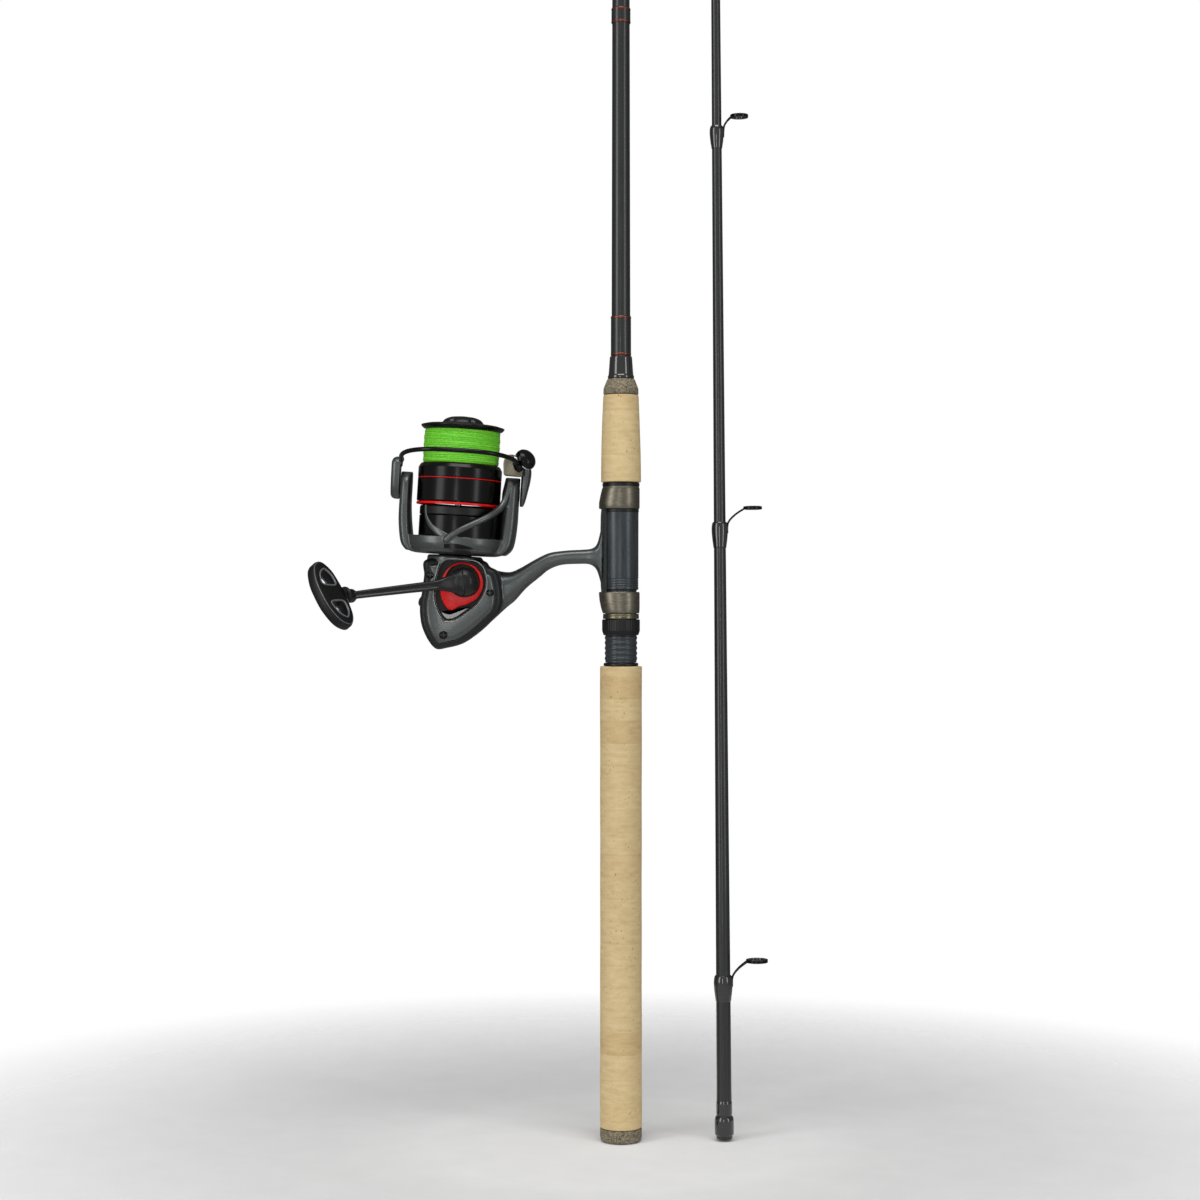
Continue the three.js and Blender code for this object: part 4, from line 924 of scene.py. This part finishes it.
tops = [(HINGE_S + 10.5 * math.sin(a), 10.5 * math.cos(a)) for a in (0, 0.5, 0.9, 1.2, 1.42, 1.52)]
left_rows = [(19, -24, -30.5, 14), (22.5, -26, -33.4, 13.8), (28, -26.8, -35, 13.4), (38, -28.2, -36.2, 12),
    (48, -29, -36.4, 10.7)]
left_rows += [(s, -29.1, -36.3, depth) for s, depth in tops]
right_rows = [(19, 21, 31.5, 14), (22.5, 24.5, 35, 13.8), (28, 26.6, 36.6, 13.4), (38, 26.6, 37.5, 12),
    (48, 26.8, 37.6, 10.9)]
right_rows += [(s, 26.8 + (s - HINGE_S) * 0.16, 37.6, depth) for s, depth in tops]
parts += [arm_part(left_rows), arm_part(right_rows)]

web_edge = [(-5.5, 25), (-2, 28), (5, 32.4), (12, 36.6), (19, 41), (25.4, 46.4), (27.2, 52), (28.4, 60)]


def edge_height(x):
    for (x0, s0), (x1, s1) in zip(web_edge, web_edge[1:]):
        if x <= x1:
            return s0 + (s1 - s0) * max(0.0, (x - x0) / (x1 - x0))
    return web_edge[-1][1]


loops = []
for degrees in range(-11, 192, 3):
    a = math.radians(degrees)
    x_unit, y_unit = math.sin(a), -math.cos(a)
    high_s = edge_height(27.4 * x_unit)
    loops.append([(r * x_unit, r * y_unit, s) for r,
        s in ((26.5, 21), (28.3, 21), (28.3, high_s), (26.5, high_s))])
web = loft("rotor_web_gloss", loops, GLOSS)
rib = [(31.6, -7.2, 65), (30.6, -9.4, 58), (28.6, -12.2, 51), (25.4, -15.8, 46.2), (19.4, -21.6, 41.4),
    (11.5, -25.8, 36.8), (4, -27.6, 32.6), (-1.6, -27.8, 28.8), (-4.8, -27.2, 25.2)]
for mirror in (1, -1):
    path = spline([(x, y * mirror, s) for x, y, s in rib], 5)
    parts.append(tube("rib_part", path, 2.1, REEL_METAL, REEL, 14))
rotor = fuse("rotor_casting", parts, 0.5, 4, REEL_METAL, 0.4)
for piece in (rotor, web):
    sweep_room = lathe("sweep_room", [(24.3, 28.5), (26.3, 28.5), (26.3, 90), (24.3, 90)], REEL_METAL, REEL,
        128)
    cut(piece, sweep_room)
dress(rotor, "rotor_body", "reel_metal", "rotor")
dress(web, "rotor_body", "reel_metal")
for k, x in enumerate((-36.4, 37.6)):
    side = 1 if x > 0 else -1
    boss = [(0, abs(x) - 1), (4.4, abs(x) - 1), (4.3, abs(x) + 0.05), (0, abs(x) + 0.2)]
    turn = sideways(0, HINGE_S) if side > 0 else sideways(0, HINGE_S) @ Matrix.Rotation(math.pi, 4, "X")
    dress(lathe(f"hinge_boss_{k + 1}", rounded(boss, 0.3), BLACK, turn, 48), "rotor_body", "reel_metal")

cup = [(7.4, 28.7), (23.6, 28.7), (23.6, 41.2), (22.9, 41.5), (22.9, 42), (7.4, 42)]
dress(lathe("rotor_cup_gloss", ring_profile(7.4, cup[1:4], 0.3), GLOSS, REEL, 96), "rotor_body",
    "gloss_black", "rotor_cup")
band = [(23.2, 41.7), (23.6, 42.0), (23.6, 46.3), (23.2, 47.2), (22.4, 47.4)]
dress(lathe("rotor_cup_band", ring_profile(7.4, band, 0.3), BLACK, REEL, 96), "rotor_body", "gloss_black")
cup_rib = spline([(-18.9, 0.9, 47), (-18.7, 1.0, 43), (-17.6, 1.2, 38.5), (-14.4, 1.45, 34),
    (-9.6, 1.7, 30.6), (-5, 1.9, 28)], 6)
loops = []
for k, p in enumerate(cup_rib):
    a = math.asin(p.x / 23.6)
    radial = Vector((math.sin(a), -math.cos(a), 0))
    here = radial * 23.6 + Vector((0, 0, p.z))
    ahead = cup_rib[min(k + 1, len(cup_rib) - 1)] - cup_rib[max(k - 1, 0)]
    run = Vector((ahead.x, 0, ahead.z)).normalized()
    loops.append(superloop(here, p.y * 1.2, 0.7, run.cross(radial).normalized(), radial, 2.4, 20))
dress(loft("rotor_cup_rib", loops, REEL_METAL), "rotor_body", "reel_metal")

# ---------- reel: spool, line and drag knob ----------
SKIRT_TOP = 71.6
spool_profile = [(2.3, 60), (7, 60), (7, 70.6), (24.9, 70.6), (24.9, 50), (25.7, 50), (25.9, 50.6),
    (25.9, 63.9), (25.55, 64.1), (25.55, 64.7), (25.9, 64.95), (25.9, 71),
                 (25.5, SKIRT_TOP), (24.6, 73.2), (17.6, 73.4), (17.6, 95), (24.2, 95), (25.5, 96.2),
                     (25.9, 96.9), (25.7, 97.4), (22, 98.4), (16.6, 98.5), (15.2, 98.1), (15, 97.4),
                         (15, 85.6), (2.3, 85.6)]
dress(lathe("spool_shell", rounded(spool_profile, 0.35, 4, closed=True), GLOSS, REEL, 128), "spool_body",
    "gloss_black", "spool")
dress(lathe("skirt_red_base", ring_profile(24.9, [(25.7, 48), (25.95, 48.3), (25.95, 49.2), (25.7, 49.5)],
    0.25), RED, REEL, 96), "spool_body", "red_gloss", "skirt_trim_ring")
dress(lathe("skirt_red_line", ring_profile(25.2, [(25.6, 64.1), (25.85, 64.2), (25.85, 64.6), (25.6, 64.7)],
    0.1, 2), RED, REEL, 96), "spool_body", "red_gloss")
dress(lathe("spool_orange_edge", ring_profile(17.7, [(23.9, 73.3), (24.3, 73.45), (23.9, 73.6)], 0.1, 2),
    COPPER, REEL, 96), "spool_body", "copper_trim")


def winding(r, s, angle):
    if r < 20:
        return 0
    first = math.sin(s * 8.6 + angle + 0.9 * math.sin(s * 1.7))
    second = math.sin(s * 5.3 - angle * 2 + 1.3)
    return 0.14 * first + 0.14 * second + 0.12 * math.sin(s * 1.35 + 0.5 * math.sin(angle * 2))


line = [(17.9, 73.7), (22.6, 73.7), (23.2, 74.2)] + [(23.5 - 0.25 * abs((s - 10) / 10) ** 4, 74.4 + s)
    for s in (0.27 * i for i in range(72))] + [(22.8, 94.6), (17.9, 94.7)]
line_body = lathe("braided_line_pack", line, LINE, REEL, 144, winding)
dress(line_body, "spool_body", "line", "braided_line")


def scallop(r, s, angle):
    if r < 6:
        return 0
    deep = 1.6 * min(1, (r - 6) / 5) if s > 98 else 0.4
    return -deep * max(0.0, math.cos(angle * 6)) ** 6


knob_rows = [(2.5, 91), (12.6, 91), (13.2, 91.6), (13.2, 98.6), (12.8, 99.9), (11.6, 101.3), (9.9, 102.3),
    (7.5, 103.1), (3, 103.6), (0, 103.8)]
solid_knob = [(0, 91)] + rounded(knob_rows[1:-1], 0.5, 3) + [(0, 103.8)]
drag = lathe("drag_knob_cap", solid_knob, CRANK, REEL, 144, scallop)
dress(drag, "drag_cap", "black_plastic", "drag_knob")

# ---------- reel: bail ----------
HALF_WIDTH, DEPTH, APEX = 36, 46.5, 79.9
WIRE_START_S = 74.2
ROLLER_Y, ROLLER_S = -1.8, 78.4
ROUNDNESS = 2.6
wire = [(-HALF_WIDTH - 2.4, -4, 72.6)]
for i in range(25):
    share = math.sin((-1 + i / 12) * math.pi / 2)
    depth = (1 - abs(share) ** ROUNDNESS) ** (1 / ROUNDNESS)
    wire.append((share * HALF_WIDTH, -7 - (DEPTH - 7) * depth,
        WIRE_START_S + (APEX - WIRE_START_S) * depth ** 0.9))
wire[-1] = (HALF_WIDTH - 0.8, -6, 74.8)
dress(tube("bail_wire_bar", spline(wire, 4), 1.42, GLOSS, REEL, 16), "bail", "gloss_black", "bail_wire")


def lever_plan(top, half, bottom):
    return plan([(-4.6, HINGE_S - 1), (-half - 1.6, top - 8), (-half - 0.4, top - 2), (0, top),
        (half - 2, top - 3), (4.6, HINGE_S + 3), (3.6, bottom + 2), (0, bottom)])


left_lever = slab("bail_lever_left", lever_plan(76.4, 5.4, 50.4),
    [(36.8, 0.4), (37.1, 0), (39.6, 0), (41, 0.5), (41.9, 1.3), (42.4, 2.4)], REEL_METAL, SIDE)
dress(left_lever, "bail", "reel_metal", "bail_lever")
dress(lathe("bail_wire_socket", rounded([(0, 35.6), (2.2, 35.6), (2.9, 36.6), (2.9, 37.4), (0, 37.4)], 0.4),
    REEL_METAL, sideways(-4, 72.6) @ Matrix.Rotation(math.pi, 4, "X"), 32),
      "bail", "reel_metal")
arm_rows = [(49.9, 39, 0.7, 1), (50.6, 39.3, 1.2, 2.4), (54, 39.8, 1.8, 4.2), (60, 40.4, 2.4, 5),
    (67, 41, 3, 5.8), (73, 41, 3, 6.8), (78, 39.8, 1.9, 7), (82, 39.5, 1.5, 5.4), (84.2, 39.4, 1.1, 2.4),
        (84.6, 39.4, 0.6, 1)]
loops = [superloop((x, -1, s), half, depth, (1, 0, 0), (0, 1, 0), 2.6, 32) for s, x, half,
    depth in spline([Vector(row) for row in arm_rows], 4)]
right_lever = loft("bail_arm_plate", loops, REEL_METAL)
dress(right_lever, "bail", "reel_metal", "bail_arm")
guard = plan([(27.9, 68.4), (32, 67.9), (38.4, 68), (38.8, 70.6), (37.2, 74.4), (33.6, 79.6), (31, 81.2),
    (28.6, 80.2), (27, 76.8), (27.2, 72)])
dress(slab("bail_guard", guard, [(-12.6, 1.1), (-12.3, 0.3), (-11.8, 0), (-10, 0), (-9.4, 0.5)], GUARD),
    "bail", "reel_metal")
dress(tube("wire_end_cone", [(34.2, -17.5, 75.9), (35, -15, 75), (36.2, -13.8, 73.6), (37.8, -12.6, 71.8)],
    [1.5, 2.2, 2.7, 2.0], GLOSS, REEL, 16), "bail", "gloss_black")
bridge = [superloop((x, -7.5, 72.5), 3.6, 3.2, (0, 1, 0), (0, 0, 1), 3) for x in (35.4, 36.6, 38, 39.4)]
dress(loft("bail_bridge", bridge, REEL_METAL), "bail", "reel_metal")
dress(lathe("roller_pin", [(0, 30.4), (1.5, 30.6), (1.5, 39), (0, 39)], STEEL, sideways(ROLLER_Y, ROLLER_S),
    24), "bail", "reel_metal")
roller = [(1.8, 31), (3.4, 31), (3.6, 31.3), (3.45, 32), (2.9, 34.2), (3.45, 36.4), (3.6, 37.1),
    (3.4, 37.4), (1.8, 37.4)]
dress(lathe("line_roller_drum", rounded(roller, 0.15, 2, closed=True), STEEL, sideways(ROLLER_Y, ROLLER_S),
    48), "roller", "steel", "line_roller")
cover_axis = Vector((0.62, -0.5, 0.6)).normalized()
cover_side = Vector((0, 0, 1)).cross(cover_axis).normalized()
COVER = REEL @ axes_matrix(cover_side, cover_axis.cross(cover_side), cover_axis,
    Vector((39.5, -8.4, 78.1)) * MM)
dome = [(0, 0), (6.3, 0), (6.9, 0.7), (6.9, 1.6), (6.4, 3.3), (4.9, 4.9), (2.6, 5.9), (0, 6.1)]
dress(lathe("roller_cover_dome", rounded(dome, 0.5), GLOSS, COVER, 64), "bail", "gloss_black", "roller_cover")
dress(lathe("roller_cover_rim", ring_profile(5.6, [(6.4, -0.7), (6.85, -0.5), (6.7, 0.2)], 0.2), STEEL,
    COVER, 64), "bail", "reel_metal")

# ---------- reel: crank and knob ----------
ARM_END = Vector((-58.5, -52, -11.4))
hub_rows = [(0, 21.8), (7.6, 21.8), (8.4, 22.4), (9.1, 24), (9.2, 31), (8.8, 34.4), (7.6, 37.4),
    (5.2, 39.6), (2.6, 40.4), (0, 40.6)]
hub = lathe("hub_part", rounded(hub_rows, 0.8, 3), BLACK, frontward(HANDLE_X, HANDLE_S), 64)
crank_path = spline([(8, -34.5, 1), (-1, -35.5, -0.6), (-9, -38.4, -2.2), (-18, -42.3, -3.8),
    (-32, -47.4, -6.4), (-46, -50.6, -9), (-57.5, -52, -11.2)], 4)
loops = []
count = len(crank_path) - 1
for i, here in enumerate(crank_path):
    t = i / count
    tangent = (crank_path[min(i + 1, count)] - crank_path[max(i - 1, 0)]).normalized()
    side = tangent.cross(Vector((0, 1, 0))).normalized()
    normal = side.cross(tangent).normalized()
    wide = 2.3 + 1.2 * (1 - t) + 5.0 * max(0.0, 1 - t / 0.32) ** 1.5
    thick = 2.1 + 0.7 * (1 - t) + 3.4 * max(0.0, 1 - t / 0.34) ** 1.5
    loop = superloop(here, wide, thick, side, normal, 3.4, 48)
    deep = 0.9 * min(1, max(0, t - 0.22) / 0.12)
    front = 1 if normal.y < 0 else -1
    for k, p in enumerate(loop):
        across_bar = abs((p - here).dot(side)) / wide
        if (p - here).dot(normal) * front > 0 and across_bar < 0.5:
            loop[k] = p - normal * front * deep * (1 - (across_bar / 0.5) ** 4)
    loops.append(loop)
bar = loft("bar_part", loops, BLACK)
splay = math.radians(36)
knob_axis = Vector((-math.sin(splay), -math.cos(splay), -0.03)).normalized()
tilt = math.radians(31.5)
paddle_long = Vector((-math.sin(tilt), 0, math.cos(tilt)))
paddle_long.y = -paddle_long.dot(knob_axis) / knob_axis.y
paddle_long.normalize()
KNOB = REEL @ axes_matrix(paddle_long, knob_axis.cross(paddle_long), knob_axis, ARM_END * MM)
eye = lathe("eye_part", rounded([(0, -2.8), (4.2, -2.8), (4.2, 2.6), (0, 2.6)], 0.6), BLACK, KNOB, 48)
crank = fuse("crank_arm_cast", [hub, bar, eye], 0.32, 5, CRANK, 0.4)
dress(crank, "handle", "black_plastic", "crank_arm")
dress(lathe("knob_shaft", [(0, 2.4), (2.2, 2.4), (2.2, 22.8), (0, 23)], STEEL, KNOB, 32), "handle",
    "black_plastic")
dress(lathe("crank_eye_ring", ring_profile(2.6, [(3.9, 2.5), (4.0, 2.8), (3.7, 3.05)], 0.15, 2), GREY_TRIM_AND_HIGHLIGHT,
    KNOB, 48), "handle", "black_plastic")
paddle = plan([(-23, 14.5), (-19.6, 22.4), (-10, 27), (0, 28), (10, 27), (19.6, 22.4), (23, 14.5),
    (17, 8.4), (8, 6.4), (0, 6), (-8, 6.4), (-17, 8.4)])
knob_layers = [(-3.4, 2.4), (-3.2, 1.3), (-2.6, 0.4), (-1.6, 0), (1.6, 0), (2.6, 0.4), (3.2, 1.3), (3.4, 2.4)]
knob = slab("knob_paddle", paddle, knob_layers, RUBBER, KNOB)
window = plan([(6.2, 11), (12, 10.8), (16.2, 13.2), (17, 15.6), (13.8, 20.2), (6.8, 22.4), (5.4, 16.6)])
for side in (1, -1):
    hole = [Vector((p.x * side, p.y)) for p in window]
    cut(knob, slab("hole", hole, [(-6, 0), (6, 0)], RUBBER, KNOB))
    # Grey tubes round each window: painted highlight along the window edges.
    for k, y in enumerate((-3.1, 3.1)):
        path = [(p.x * side, y, p.y) for p in window]
        dress(tube(f"knob_window_rim_{'ab'[side > 0]}{k + 1}", path, 0.62, GREY_TRIM_AND_HIGHLIGHT, KNOB, 8, closed=True,
            up=(0, 1, 0)), "knob_body", "rubber")
# Grey lines just inside the knob's outline: painted highlight along its rounded rim.
for k, y in enumerate((-2.95, 2.95)):
    path = [(p.x, y, p.y) for p in offset(paddle, 1.1)]
    dress(tube(f"knob_edge_highlight_line_{k + 1}", path, 0.26, GREY_TRIM_AND_HIGHLIGHT, KNOB, 8, closed=True, up=(0, 1, 0)),
        "knob_body", "rubber")
dress(knob, "knob_body", "rubber", "knob")
collar = [(2.5, 3.2), (5.2, 3.2), (5.6, 3.7), (5.1, 4.5), (4.6, 5.2), (5.2, 7), (5.4, 8), (2.5, 8)]
dress(lathe("knob_collar", rounded(collar, 0.4, 3, closed=True), RUBBER, KNOB, 48), "knob_body", "rubber")

# ---------- hidden mechanism keeps its CAD shape ----------
for node, finish in (("pinion", BRASS), ("drive_gear", BRASS), ("oscillation_gear", BRASS),
    ("main_bearing", STEEL), ("one_way_clutch", STEEL), ("main_shaft", STEEL),
                     ("crosshead", STEEL), ("rotor_nut", STEEL), ("drag_washers", BLANK)):
    paint(node, finish)

# ---------- studio ----------
scene = bpy.context.scene


def light(name, place, target, size, power, colour=(1, 1, 1)):
    data = bpy.data.lights.new(name, "AREA")
    data.shape = "RECTANGLE"
    data.size, data.size_y = size
    data.energy = power
    data.color = colour
    obj = bpy.data.objects.new(name, data)
    scene.collection.objects.link(obj)
    obj.location = place
    obj.rotation_euler = (Vector(target) - Vector(place)).to_track_quat("-Z", "Y").to_euler()
    return obj


light("key_strip", (-0.22, -1.62, 0.3), (-0.03, 0, 0.3), (0.1, 0.8), 2.0)
light("softbox_left", (-1.3, -1.0, 0.7), (-0.04, 0, 0.4), (0.55, 1.6), 10)
light("softbox_right", (1.3, -1.1, 0.6), (0, 0, 0.4), (0.3, 1.3), 5)
light("softbox_top", (0, -0.7, 1.9), (-0.02, 0, 0.4), (1.2, 0.8), 16)

# White for the camera; for the object, brighter on the camera's side than behind.
world = bpy.data.worlds.new("studio")
scene.world = world
world.use_nodes = True
nodes, links = world.node_tree.nodes, world.node_tree.links
background = nodes["Background"]
direction = nodes.new("ShaderNodeTexCoord")
split = nodes.new("ShaderNodeSeparateXYZ")
links.new(direction.outputs["Generated"], split.inputs["Vector"])
front = nodes.new("ShaderNodeMapRange")
front.inputs["From Min"].default_value = 0.7
front.inputs["From Max"].default_value = -0.9
front.inputs["To Min"].default_value = 0.12
front.inputs["To Max"].default_value = 0.56
links.new(split.outputs["Y"], front.inputs["Value"])
path_info = nodes.new("ShaderNodeLightPath")
level = nodes.new("ShaderNodeMix")
links.new(path_info.outputs["Is Camera Ray"], level.inputs["Factor"])
links.new(front.outputs["Result"], level.inputs["A"])
level.inputs["B"].default_value = 1.0
links.new(level.outputs["Result"], background.inputs["Strength"])
background.inputs["Color"].default_value = (1, 1, 1, 1)

FLOOR_RADIUS = 900
floor_rows = [(0, -0.4), (FLOOR_RADIUS, -0.4), (FLOOR_RADIUS, -3), (0, -3)]
ground = Finish("floor", 0.9)
ground.colour(ground.ramp(ground.noise(30), [(0.3, (0.86, 0.86, 0.86)), (0.7, (0.9, 0.9, 0.9))]))
length = ground.node("ShaderNodeVectorMath", operation="LENGTH")
ground.link(ground.coords, length.inputs[0])
fade = ground.ramp(length.outputs["Value"], [(0.12, (1, 1, 1)), (0.55, (0, 0, 0))])
ground.link(fade, ground.shader.inputs["Alpha"])
floor = lathe("floor_disc", floor_rows, ground.material, ROW, 96)

camera_data = bpy.data.cameras.new("camera")
camera = bpy.data.objects.new("camera", camera_data)
scene.collection.objects.link(camera)
camera_data.lens = 69.4
camera.location = (-0.013, -1.435, 0.335)
camera.rotation_euler = (math.radians(90), 0, 0)
scene.camera = camera
scene.view_settings.view_transform = "Standard"
